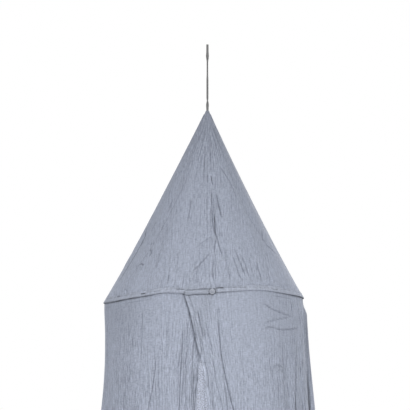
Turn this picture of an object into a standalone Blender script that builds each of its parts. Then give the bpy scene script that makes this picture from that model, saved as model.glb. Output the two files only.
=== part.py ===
"""A hanging bed canopy and its hoop: a looped tape, a cone of cloth in two cuts, a hoop in its
band, a buttoned tab over the front opening, and a curtain in two halves.

Metres, +Z up. The origin is where the hook bears inside the top of the loop. The curtain opens
towards -Y, so +X is on the right of someone who stands in front of it. Angles round the canopy
run from the front, positive towards +X."""

import math

import bmesh
import bpy
from mathutils import Matrix, Vector

# Driving dimensions
CLOTH = 0.0012
GAP = 0.0004
LOOP_DROP = 0.174
CONE_DROP = 0.485
CURTAIN_DROP = 1.70
HOOP_RADIUS = 0.250
HOOP_ROD = 0.003
APEX_RADIUS = 0.0045

# The hoop hangs a little to the left of the hook and a little out of level; further down the
# curtain comes back to the middle and to one level
HOOP_SHIFT = -0.0095
HOOP_TILT = 0.0215
CENTRED_BY = 0.40
LEVEL_BY = 0.50

# The curtain flares from the hoop to its hem and hangs just inside the seam
FLARE = 0.045
FLARE_POWER = 1.2
CURTAIN_IN = 0.0030
CURTAIN_BELOW_BAND = 0.0007
BACK_SEAM_GAP = 0.0008

# The cone's sides hang a little hollow, the right one more than the left one
CONE_SAG = 0.0060
CONE_SAG_TO_THE_RIGHT = 0.0015
CONE_SAG_POWER = 0.6

# Past both sides the curtain stands out. On the right it does so right under the band, and on the
# left it first hangs inwards. Each row: side, angle where it starts, angle over which it grows,
# quick part and the drop by which it's there, slow part, the drop where that starts and the drop
# it takes
SIDE_SWELLS = (
    (1, 85.0, 11.0, 0.0125, 0.04, 0.0320, 0.02, 0.85),
    (-1, 66.0, 16.0, -0.0026, 0.08, 0.0260, 0.11, 0.36),
)
SWELL_ENDS_OVER = 50.0

# The tape
TAPE_WIDTH = 0.006
EYE_RADIUS = 0.0032
EYE_CLOSED_BY = 0.034
TAPE_HALF_APART = 0.0009
TAPE_INSIDE = 0.014
# How the tape turns on its way down: from one drop to another, by degrees
TURNS = (
    (0.018, 0.046, 84.0),
    (0.075, 0.095, -12.0),
    (0.138, 0.172, 108.0),
)
RUN_STEPS = 80
ARCH_STEPS = 6

# The tab and its button, in degrees round the hoop
TAB_FROM = -10.2
TAB_TO = 6.6
TAB_STATIONS = 7
BUTTON_ANGLE = 4.5
BUTTON_UP = 0.0004
BUTTON_RADIUS = 0.0073
BUTTON_DEPTH = 0.0022
BUTTON_SIDES = 20

# Half section of the button from its axis under the base, round the rim, to its dished middle:
# share of the radius, share of the depth
BUTTON_PROFILE = (
    (0.00, 0.00),
    (0.86, 0.00),
    (1.00, 0.30),
    (1.00, 0.75),
    (0.86, 1.00),
    (0.66, 0.92),
    (0.52, 0.62),
    (0.00, 0.55),
)

# Where the left half of the curtain passes under the right one, in degrees, and by how much
LAP_FROM = -40.0
LAP_OVER = 26.0
LAP_IN = 0.0032

# How finely the rings are cut
HOOP_STATIONS = 60
HOOP_SIDES = 6
ROOF_ROWS = 7

# The hoop's place in the band, from the seam: outwards and upwards
HOOP_OUT = -0.0067
HOOP_UP = 0.0027

# The band's middle surface round the hoop, from the seam: outwards and upwards
BAND_PROFILE = (
    (-0.0065, 0.0113),
    (-0.0012, 0.0010),
    (-0.0014, -0.0018),
    (-0.0075, -0.0020),
    (-0.0122, 0.0015),
    (-0.0122, 0.0075),
    (-0.0090, 0.0112),
)

# The tab's middle surface over the band's front, from the seam: outwards and upwards
TAB_PROFILE = (
    (-0.0026, 0.0080),
    (0.0004, 0.0020),
    (0.0010, -0.0042),
)

# Soft bends of the thin hoop: angle, half width in degrees, lift
HOOP_BENDS = (
    (30, 24, 0.0040),
    (32, 16, 0.0036),
    (-21, 10, 0.0050),
    (-62, 20, -0.0050),
    (150, 40, 0.0030),
    (-150, 40, -0.0030),
)

# Folds of the cone that run from its point: angle, half width at the hoop, depth, share of the
# slope where the fold is deepest
ROOF_FOLDS = (
    (6.5, 0.020, 0.0040, 0.65),
    (14.0, 0.016, 0.0030, 0.55),
    (-16.0, 0.020, 0.0026, 0.58),
    (-43.5, 0.030, 0.0030, 0.55),
    (-62.0, 0.034, 0.0026, 0.80),
    (34.0, 0.026, 0.0022, 0.80),
    (51.0, 0.030, 0.0034, 0.60),
    (76.0, 0.028, 0.0026, 0.75),
    (104.0, 0.034, 0.0036, 0.60),
    (131.0, 0.030, 0.0030, 0.75),
    (158.0, 0.034, 0.0040, 0.65),
    (-172.0, 0.026, 0.0032, 0.55),
    (-146.0, 0.034, 0.0036, 0.70),
    (-118.0, 0.030, 0.0030, 0.60),
    (-93.0, 0.030, 0.0026, 0.80),
)
# How far along the slope a fold reaches, and the shares beside the band and beside the point
# where the cloth is held smooth
ROOF_FOLD_REACH = 0.30
HELD_AT_BAND = 0.25
HELD_AT_POINT = 0.20
NARROWEST_SHARE = 0.10

# Folds of the curtain: angle at the hoop, angle at the hem, half width at the hem, depth at the
# hem, drop where the fold starts
CURTAIN_FOLDS = (
    (7.0, 31.0, 0.030, 0.034, 0.03),
    (-9.5, -27.0, 0.026, 0.028, 0.02),
    (-24.5, -48.0, 0.030, 0.030, 0.11),
    (-45.0, -71.0, 0.034, 0.036, 0.22),
    (-72.0, -92.0, 0.028, 0.030, 0.30),
    (-98.0, -113.0, 0.036, 0.042, 0.06),
    (-121.0, -133.0, 0.030, 0.034, 0.16),
    (-143.0, -154.0, 0.034, 0.040, 0.05),
    (-166.0, -173.0, 0.026, 0.030, 0.20),
    (30.0, 50.0, 0.026, 0.026, 0.34),
    (47.0, 67.0, 0.030, 0.032, 0.08),
    (62.0, 84.0, 0.026, 0.030, 0.05),
    (84.5, 103.0, 0.030, 0.050, 0.01),
    (108.0, 122.0, 0.034, 0.036, 0.12),
    (132.0, 143.0, 0.030, 0.040, 0.04),
    (157.0, 164.0, 0.032, 0.036, 0.14),
)
FOLD_POWER = 0.80
FOLD_DRIFT_POWER = 0.70
FOLD_LEAST_WIDTH = 0.014

# The curtain's front edges: drop below the hoop, then the left and the right edge's place across
FRONT_EDGES = (
    (0.000, 0.0135, -0.0555),
    (0.030, 0.0085, -0.0452),
    (0.062, 0.0010, -0.0372),
    (0.100, -0.0075, -0.0285),
    (0.130, -0.0128, -0.0220),
    (0.152, -0.0163, -0.0160),
    (0.172, -0.0212, -0.0108),
    (0.192, -0.0220, -0.0064),
    (0.225, -0.0235, -0.0043),
    (0.270, -0.0258, 0.0008),
    (0.420, -0.0340, 0.0100),
    (0.620, -0.042, 0.022),
    (0.860, -0.050, 0.034),
    (1.130, -0.056, 0.043),
    (1.420, -0.060, 0.050),
    (1.700, -0.062, 0.054),
)

# Columns of each curtain half: close beside the front edge, then wider apart
CLOSE_COLUMNS = 12
CLOSE_SPAN = 22.0
WIDE_COLUMNS = 34


def smooth(share):
    """An eased step from 0 to 1."""
    share = min(max(share, 0.0), 1.0)
    return share * share * (3.0 - 2.0 * share)


def turned(angle):
    """An angle in degrees brought between -180 and 180."""
    return (angle + 180.0) % 360.0 - 180.0


def outwards(angle):
    """The level direction away from the axis at an angle round the canopy."""
    turn = math.radians(angle)
    return Vector((math.sin(turn), -math.cos(turn), 0.0))


def seam_height(angle):
    """Height of the seam under the band at an angle round the hoop."""
    tilt = HOOP_TILT * HOOP_RADIUS * math.sin(math.radians(angle))
    bends = sum(
        lift * math.exp(-((turned(angle - at) / width) ** 2)) for at, width, lift in HOOP_BENDS
    )
    return -LOOP_DROP - CONE_DROP + tilt + bends


def at_hoop(angle, out, up):
    """A point at an angle round the hoop, outwards and upwards of the seam."""
    middle = Vector((HOOP_SHIFT, 0.0, seam_height(angle) + up))
    return middle + (HOOP_RADIUS + out) * outwards(angle)


def roof_point(angle, share):
    """A point of the cone: share 0 is its tip and 1 its lower edge, just above the band."""
    tip = Vector((0.0, 0.0, -LOOP_DROP)) + APEX_RADIUS * outwards(angle)
    top, below = Vector(BAND_PROFILE[0]), Vector(BAND_PROFILE[1])
    edge = top + GAP * (top - below).normalized()
    point = tip.lerp(at_hoop(angle, edge.x, edge.y), share)
    radius = max(HOOP_RADIUS * share, APEX_RADIUS)
    held = smooth((1.0 - share) / HELD_AT_BAND) * smooth(share / HELD_AT_POINT)
    inwards = 0.0
    for at, width, depth, deepest in ROOF_FOLDS:
        half_width = width * max(share, NARROWEST_SHARE)
        across = math.radians(turned(angle - at)) * radius / half_width
        along = math.exp(-(((share - deepest) / ROOF_FOLD_REACH) ** 2))
        at_tip = math.exp(-((deepest / ROOF_FOLD_REACH) ** 2))
        inwards += depth * max(along - at_tip, 0.0) * held * math.exp(-(across**2))
    side = CONE_SAG + CONE_SAG_TO_THE_RIGHT * math.sin(math.radians(angle))
    inwards += side * max(math.sin(math.pi * share), 0.0) ** CONE_SAG_POWER
    return point - inwards * outwards(angle)


def fold_growth(drop, start):
    """How far a fold has opened at this drop, from 0 at its start to 1 at the hem."""
    return max((drop - start) / (CURTAIN_DROP - start), 0.0) ** FOLD_POWER


def side_swell(angle, drop):
    """How far the curtain stands out past the sides of the hoop."""
    swell = 0.0
    for side, start, over, quick, quick_by, slow, slow_from, slow_over in SIDE_SWELLS:
        past = side * turned(angle) - start
        ends = smooth((180.0 - side * turned(angle)) / SWELL_ENDS_OVER)
        height = quick * smooth(drop / quick_by) + slow * smooth((drop - slow_from) / slow_over)
        swell += smooth(past / over) * ends * height
    return swell


def curtain_radius(angle, drop):
    """The curtain's radius at an angle and a drop below the hoop, folds and flare included."""
    radius = HOOP_RADIUS + FLARE * (drop / CURTAIN_DROP) ** FLARE_POWER + side_swell(angle, drop)
    for at_top, at_hem, width, depth, start in CURTAIN_FOLDS:
        grown = fold_growth(drop, start)
        at = at_top + (at_hem - at_top) * (drop / CURTAIN_DROP) ** FOLD_DRIFT_POWER
        half_width = FOLD_LEAST_WIDTH + (width - FOLD_LEAST_WIDTH) * grown
        across = math.radians(turned(angle - at)) * radius / half_width
        radius -= depth * grown * math.exp(-(across**2))
    return radius


def curtain_shift(drop):
    """How far to the side the curtain's middle is at this drop."""
    return HOOP_SHIFT * (1.0 - smooth(drop / CENTRED_BY))


def curtain_point(angle, drop, out):
    """A point of the curtain, out from its nominal surface."""
    level = -LOOP_DROP - CONE_DROP
    top = seam_height(angle) + (level - seam_height(angle)) * smooth(drop / LEVEL_BY)
    under_band = BAND_PROFILE[3][1] - CLOTH / 2 - CURTAIN_BELOW_BAND
    middle = Vector((curtain_shift(drop), 0.0, top + under_band - drop))
    return middle + (curtain_radius(angle, drop) + out) * outwards(angle)


def edge_angle(drop, across):
    """The angle of a front edge that lies this far across at this drop."""
    return math.degrees(math.asin((across - curtain_shift(drop)) / curtain_radius(0.0, drop)))


def plain_material(name, colour, roughness, metallic=0.0):
    """A Principled material of one colour."""
    material = bpy.data.materials.new(name)
    material.use_nodes = True
    shader = material.node_tree.nodes["Principled BSDF"]
    shader.inputs["Base Color"].default_value = (*colour, 1.0)
    shader.inputs["Roughness"].default_value = roughness
    shader.inputs["Metallic"].default_value = metallic
    return material


def add_object(name, bm, material):
    """Puts a bmesh in the scene as a smooth object."""
    mesh = bpy.data.meshes.new(name)
    bm.to_mesh(mesh)
    bm.free()
    mesh.shade_smooth()
    mesh.materials.append(material)
    obj = bpy.data.objects.new(name, mesh)
    bpy.context.scene.collection.objects.link(obj)
    return obj


def grid_mesh(rows, closed_round=False, closed_across=False):
    """A bmesh of quads between rows of points, each row running the same way."""
    bm = bmesh.new()
    lines = [[bm.verts.new(point) for point in row] for row in rows]
    pairs = list(zip(lines, lines[1:]))
    if closed_across:
        pairs.append((lines[-1], lines[0]))
    for upper, lower in pairs:
        count = len(upper)
        for j in range(count if closed_round else count - 1):
            k = (j + 1) % count
            bm.faces.new((upper[j], lower[j], lower[k], upper[k]))
    return bm


def cloth_object(name, rows, material, closed_round=False):
    """A sheet of cloth of even thickness on rows of points of its middle surface."""
    obj = add_object(name, grid_mesh(rows, closed_round), material)
    wall = obj.modifiers.new("thickness", "SOLIDIFY")
    wall.thickness = CLOTH
    wall.offset = 0.0
    wall.use_even_offset = True
    return obj


def spaced(start, end, count):
    """Values in even steps from start to end, both included."""
    return [start + (end - start) * i / count for i in range(count + 1)]


def build_hoop(material):
    """The thin ring inside the band."""
    angles = spaced(-180.0, 180.0, HOOP_STATIONS)[:-1]
    rows = []
    for i in range(HOOP_SIDES):
        turn = math.tau * i / HOOP_SIDES
        out = HOOP_OUT - HOOP_ROD * math.cos(turn)
        up = HOOP_UP + HOOP_ROD * math.sin(turn)
        rows.append([at_hoop(angle, out, up) for angle in angles])
    return add_object("hoop", grid_mesh(rows, closed_round=True, closed_across=True), material)


def build_band(material):
    """The tunnel of cloth round the hoop, open along the top of its inner side."""
    angles = spaced(-180.0, 180.0, HOOP_STATIONS)[:-1]
    rows = [[at_hoop(angle, out, up) for angle in angles] for out, up in BAND_PROFILE]
    return cloth_object("hoop_band", rows, material, closed_round=True)


def build_tab(material):
    """The band's short overlapping end, above the curtain's opening."""
    angles = spaced(TAB_FROM, TAB_TO, TAB_STATIONS)
    rows = [[at_hoop(angle, out, up) for angle in angles] for out, up in TAB_PROFILE]
    return cloth_object("closure_tab", rows, material)


def button_frame():
    """The button's place on the tab: its axis along +Z, away from the cloth."""
    upper = at_hoop(BUTTON_ANGLE, *TAB_PROFILE[0])
    lower = at_hoop(BUTTON_ANGLE, *TAB_PROFILE[-1])
    down = (lower - upper).normalized()
    across = Vector((0.0, 0.0, 1.0)).cross(outwards(BUTTON_ANGLE))
    facing = across.cross(down).normalized()
    if facing.dot(outwards(BUTTON_ANGLE)) < 0.0:
        facing = -facing
    ridge = at_hoop(BUTTON_ANGLE, *TAB_PROFILE[1])
    seat = ridge + down * (TAB_PROFILE[1][1] - BUTTON_UP) + facing * (CLOTH / 2 + GAP)
    return Matrix.Translation(seat) @ facing.to_track_quat("Z", "Y").to_matrix().to_4x4()


def build_button(material):
    """A small dished button on the tab, turned round its own axis."""
    bm = bmesh.new()
    points = [
        bm.verts.new((radius * BUTTON_RADIUS, 0.0, height * BUTTON_DEPTH))
        for radius, height in BUTTON_PROFILE
    ]
    edges = [bm.edges.new(pair) for pair in zip(points, points[1:])]
    bmesh.ops.spin(
        bm,
        geom=points + edges,
        cent=(0, 0, 0),
        axis=(0, 0, 1),
        angle=math.tau,
        steps=BUTTON_SIDES,
    )
    bmesh.ops.remove_doubles(bm, verts=bm.verts, dist=0.00001)
    bmesh.ops.recalc_face_normals(bm, faces=bm.faces)
    bm.transform(button_frame())
    return add_object("button", bm, material)


def tape_offset(drop):
    """Half the distance between the two runs of the tape at this drop."""
    open_by = EYE_RADIUS + CLOTH / 2
    closing = smooth((drop - open_by) / (EYE_CLOSED_BY - open_by))
    return open_by + (TAPE_HALF_APART - open_by) * closing


def build_tape(material):
    """One tape folded into a loop: up one run, over the eye, and down the other, half twisted."""
    open_by = EYE_RADIUS + CLOTH / 2
    drops = spaced(EYE_RADIUS, LOOP_DROP + TAPE_INSIDE, RUN_STEPS)
    path = [(-drop, -tape_offset(drop)) for drop in reversed(drops)]
    for i in range(1, ARCH_STEPS):
        turn = math.pi * i / ARCH_STEPS
        path.append((-EYE_RADIUS + open_by * math.sin(turn), -open_by * math.cos(turn)))
    path += [(-drop, tape_offset(drop)) for drop in drops]
    rows = []
    for height, apart in path:
        turned_by = sum(
            degrees * smooth((-height - start) / (end - start)) for start, end, degrees in TURNS
        )
        turn = Matrix.Rotation(math.radians(turned_by), 3, "Z")
        edges = (TAPE_WIDTH / 2, -TAPE_WIDTH / 2)
        rows.append([turn @ Vector((across, apart, height)) for across in edges])
    return cloth_object("hanging_tape", rows, material)


def build_roof(name, start, end, side_step, material):
    """One cut of the cone, between two side seams."""
    angles = spaced(start, end, HOOP_STATIONS // 2)
    step = Vector((0.0, side_step, 0.0))
    shares = spaced(0.0, 1.0, ROOF_ROWS)
    rows = [[roof_point(angle, share) + step for angle in angles] for share in shares]
    return cloth_object(name, rows, material)


def curtain_columns(front, back):
    """Angles of a curtain half, close together beside its front edge."""
    start = front + math.copysign(CLOSE_SPAN, back - front)
    return spaced(front, start, CLOSE_COLUMNS)[:-1] + spaced(start, back, WIDE_COLUMNS)


def build_curtain(name, right, material):
    """One half of the curtain, from its front edge to the seam at the middle of the back."""
    back = 180.0 if right else -180.0
    beside_seam = Vector((math.copysign(BACK_SEAM_GAP / 2, back), 0.0, 0.0))
    rows = []
    for drop, left_edge, right_edge in FRONT_EDGES:
        front = edge_angle(drop, right_edge if right else left_edge)
        row = []
        for angle in curtain_columns(front, back):
            under = 0.0 if right else LAP_IN * smooth((angle - LAP_FROM) / LAP_OVER)
            row.append(curtain_point(angle, drop, -CURTAIN_IN - under) + beside_seam)
        rows.append(row if right else row[::-1])
    return cloth_object(name, rows, material)


def main():
    """Clears the scene and builds every piece."""
    for obj in list(bpy.data.objects):
        bpy.data.objects.remove(obj, do_unlink=True)
    roof_cloth = plain_material("roof_cloth", (0.33, 0.36, 0.44), 0.9)
    curtain_cloth = plain_material("curtain_cloth", (0.35, 0.38, 0.46), 0.9)
    band_cloth = plain_material("band_cloth", (0.31, 0.34, 0.42), 0.9)
    tape_weave = plain_material("tape_weave", (0.13, 0.13, 0.13), 0.85)
    hoop_plastic = plain_material("hoop_plastic", (0.75, 0.75, 0.73), 0.45)
    button_plastic = plain_material("button_plastic", (0.45, 0.47, 0.53), 0.4)
    build_tape(tape_weave)
    build_roof("roof_front", -90.0, 90.0, -GAP / 2, roof_cloth)
    build_roof("roof_back", 90.0, 270.0, GAP / 2, roof_cloth)
    build_hoop(hoop_plastic)
    build_band(band_cloth)
    build_tab(band_cloth)
    build_button(button_plastic)
    build_curtain("curtain_left", False, curtain_cloth)
    build_curtain("curtain_right", True, curtain_cloth)


main()
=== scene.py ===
"""A hanging bed canopy of crinkled cotton with its hoop, as an add-on that is run as a script.

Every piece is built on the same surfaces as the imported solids, in metres, +Z up. The origin is
where the hook bears in the tape's loop, and the curtain opens towards -Y. Angles round the canopy
run from the front, positive towards +X. Drops run down the curtain from the hoop's seam, and
shares run down the cone, from 0 at its point to 1 at the band."""

import math

import bmesh
import bpy
import numpy as np
from mathutils import Matrix, Vector


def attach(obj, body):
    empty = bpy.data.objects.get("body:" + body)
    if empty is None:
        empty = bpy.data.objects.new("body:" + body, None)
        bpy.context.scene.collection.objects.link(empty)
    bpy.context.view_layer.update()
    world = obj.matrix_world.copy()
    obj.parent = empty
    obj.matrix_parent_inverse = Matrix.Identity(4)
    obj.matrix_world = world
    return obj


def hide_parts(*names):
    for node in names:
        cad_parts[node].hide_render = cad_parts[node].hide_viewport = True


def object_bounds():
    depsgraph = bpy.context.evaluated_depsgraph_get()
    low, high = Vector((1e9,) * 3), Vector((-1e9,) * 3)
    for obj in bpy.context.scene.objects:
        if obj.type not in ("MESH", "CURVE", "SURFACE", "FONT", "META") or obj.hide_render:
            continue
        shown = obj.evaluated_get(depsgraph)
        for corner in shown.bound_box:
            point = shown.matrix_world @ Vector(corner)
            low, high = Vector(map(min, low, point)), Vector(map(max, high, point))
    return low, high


bl_info = {
    "name": "Bed Canopy",
    "version": (1, 0, 0),
    "blender": (4, 5, 0),
    "location": "3D View > Sidebar > Canopy",
    "description": "Builds a hanging bed canopy of crinkled cotton, with its hoop",
    "category": "Add Mesh",
}

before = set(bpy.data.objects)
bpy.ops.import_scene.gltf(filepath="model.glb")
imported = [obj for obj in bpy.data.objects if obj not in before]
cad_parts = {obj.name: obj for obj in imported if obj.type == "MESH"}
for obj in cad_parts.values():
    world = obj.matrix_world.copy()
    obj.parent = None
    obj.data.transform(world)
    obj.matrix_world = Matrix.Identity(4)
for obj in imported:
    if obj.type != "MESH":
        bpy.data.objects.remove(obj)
CAD_BOX = [list(corner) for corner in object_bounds()]

# Sizes of the canopy
MM = 0.001
CLOTH = 0.0012
GAP = 0.0004
LOOP_DROP = 0.174
CONE_DROP = 0.485
CURTAIN_DROP = 1.7
HOOP_RADIUS = 0.25
SLANT = math.hypot(HOOP_RADIUS, CONE_DROP)
APEX_RADIUS = 0.0045
HOOP_SHIFT = -0.0095
HOOP_TILT = 0.0215

# The drops by which the curtain's middle is under the point and its rows are level, how it widens
# towards the hem, and how far inside the hoop's radius and below the band it starts
CENTRED_BY = 0.4
LEVEL_BY = 0.5
FLARE = 0.045
FLARE_POWER = 1.2
CURTAIN_IN = 0.003
CURTAIN_BELOW_BAND = 0.0003

# The cone's sides hang a little hollow, the right one more than the left one
CONE_SAG = 0.006
CONE_SAG_TO_THE_RIGHT = 0.0015
CONE_SAG_POWER = 0.6

# Past both sides the curtain stands out. On the right it does so right under the band, and on the
# left it first hangs inwards. Each row: side, angle where it starts, angle over which it grows,
# quick part and the drop by which it's there, slow part, the drop where that starts and the drop
# it takes
SIDE_SWELLS = (
    (1, 85, 11, 0.0125, 0.04, 0.032, 0.02, 0.85),
    (-1, 66, 16, -0.0026, 0.08, 0.026, 0.11, 0.36),
)
SWELL_ENDS_OVER = 50.0

# The tape, its eye for the hook, and how far it goes on inside the cone
TAPE_WIDTH = 0.006
TAPE_THICK = 0.0016
EYE_RADIUS = 0.0032
EYE_OPEN = EYE_RADIUS + CLOTH / 2
EYE_CLOSED_BY = 0.034
TAPE_HALF_APART = 0.0009
TAPE_INSIDE = 0.012
# How the tape turns on its way down: from one drop to another, by degrees
TURNS = ((0.018, 0.046, 84), (0.075, 0.095, -12), (0.138, 0.172, 108))

# The tab and its button: angles in degrees, and sizes
TAB_FROM = -10.2
TAB_TO = 6.6
BUTTON_ANGLE = 4.5
BUTTON_UP = 0.0004
BUTTON_RADIUS = 0.0073
BUTTON_DEPTH = 0.0022

# The curtain's lap, in degrees and inwards, and its hems
LAP_FROM = -40.0
LAP_OVER = 26.0
LAP_IN = 0.005
EDGE_HEM = 0.009
LOW_HEM = 0.025

# How far from a front edge the cloth's grain follows it, and how far from the middle of the back
# each half ends, in degrees
EDGE_REACH = 22.0
BACK_SEAM = 1.1

# The curtain's columns of points, by degrees from its front edge, and its rows, by drops
CLOSE_SPAN = 26.0
CLOSE_COLUMNS = 118
FRONT_SPAN = 100.0
FRONT_COLUMNS = 230
BACK_COLUMNS = 150
UPPER_DROP = 0.3
UPPER_ROWS = 106
MIDDLE_ROWS = 76
HEM_SPAN = 0.04
HEM_ROWS = 8

# The share at which the cone's cloth ends, under the band, and columns and rows of its two cuts
ROOF_END = 1.012
FRONT_CUT = (490, 202)
BACK_CUT = (260, 120)

# Columns and rows of the smaller pieces: the band's front is its first rows
BAND_COLUMNS = 760
BAND_FRONT = 24
TAB_COLUMNS = 80
TAPE_ROWS = 110
EYE_ROWS = 17
SIDE_SEAM_ROWS = 90
BACK_SEAM_ROWS = 180

# Where the back's open weave shows, with the light through its holes painted in: from this angle on, down
# to this drop
WEAVE_FROM = 165.0
WEAVE_TO = 0.6
WEAVE_FADE = 0.2

# The band's middle surface round the hoop, from the seam: outwards and upwards
BAND_PROFILE = (
    (-0.0065, 0.0113), (-0.0012, 0.001), (-0.0014, -0.0009), (-0.0075, -0.0011), (-0.0122, 0.0015),
    (-0.0122, 0.0075), (-0.009, 0.0112),
)

# The tab's middle surface over the band's front, from the seam: outwards and upwards
TAB_PROFILE = ((-0.0026, 0.008), (0.0004, 0.002), (0.001, -0.0042))

# Soft bends of the thin hoop: angle, half width in degrees, lift
HOOP_BENDS = (
    (30, 24, 0.004), (32, 16, 0.0036), (-21, 10, 0.005), (-62, 20, -0.005), (150, 40, 0.003),
    (-150, 40, -0.003),
)

# Folds of the cone: angle, half width at the hoop, depth, share where the fold is deepest
ROOF_FOLDS = (
    (6.5, 0.02, 0.004, 0.65), (14, 0.016, 0.003, 0.55), (-16, 0.02, 0.0026, 0.58),
    (-43.5, 0.03, 0.003, 0.55), (-62, 0.034, 0.0026, 0.8), (34, 0.026, 0.0022, 0.8),
    (51, 0.03, 0.0034, 0.6), (76, 0.028, 0.0026, 0.75), (104, 0.034, 0.0036, 0.6),
    (131, 0.03, 0.003, 0.75), (158, 0.034, 0.004, 0.65), (-172, 0.026, 0.0032, 0.55),
    (-146, 0.034, 0.0036, 0.7), (-118, 0.03, 0.003, 0.6), (-93, 0.03, 0.0026, 0.8),
)
# How far along the cone a fold reaches, the shares over which the band and the point hold the
# cloth, and the share above which a fold gets no narrower
ROOF_FOLD_REACH = 0.3
HELD_AT_BAND = 0.25
HELD_AT_POINT = 0.2
NARROWEST_SHARE = 0.1

# Folds of the curtain: angle at the hoop, angle at the hem, half width and depth at the hem, drop
# where the fold starts
CURTAIN_FOLDS = (
    (7, 31, 0.03, 0.034, 0.03), (-9.5, -27, 0.026, 0.028, 0.02), (-24.5, -48, 0.03, 0.03, 0.11),
    (-45, -71, 0.034, 0.036, 0.22), (-72, -92, 0.028, 0.03, 0.3), (-98, -113, 0.036, 0.042, 0.06),
    (-121, -133, 0.03, 0.034, 0.16), (-143, -154, 0.034, 0.04, 0.05),
    (-166, -173, 0.026, 0.03, 0.2), (30, 50, 0.026, 0.026, 0.34), (47, 67, 0.03, 0.032, 0.08),
    (62, 84, 0.026, 0.03, 0.05), (84.5, 103, 0.03, 0.05, 0.01), (108, 122, 0.034, 0.036, 0.12),
    (132, 143, 0.03, 0.04, 0.04), (157, 164, 0.032, 0.036, 0.14),
)
# How folds grow and move round on their way down, and their half width where they start
FOLD_POWER = 0.8
FOLD_DRIFT_POWER = 0.7
FOLD_LEAST_WIDTH = 0.014

# The curtain's front edges: drop, then the place across of the left half's edge and of the right
# half's, each with its column
LEFT = 1
RIGHT = 2
FRONT_EDGES = (
    (0, 0.0135, -0.0555), (0.03, 0.0085, -0.0452), (0.062, 0.001, -0.0372), (0.1, -0.0075, -0.0285),
    (0.13, -0.0128, -0.022), (0.152, -0.0163, -0.016), (0.172, -0.0212, -0.0108),
    (0.192, -0.022, -0.0064), (0.225, -0.0235, -0.0043), (0.27, -0.0258, 0.0008),
    (0.42, -0.034, 0.01), (0.62, -0.042, 0.022), (0.86, -0.05, 0.034), (1.13, -0.056, 0.043),
    (1.42, -0.06, 0.05), (1.7, -0.062, 0.054),
)
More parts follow.
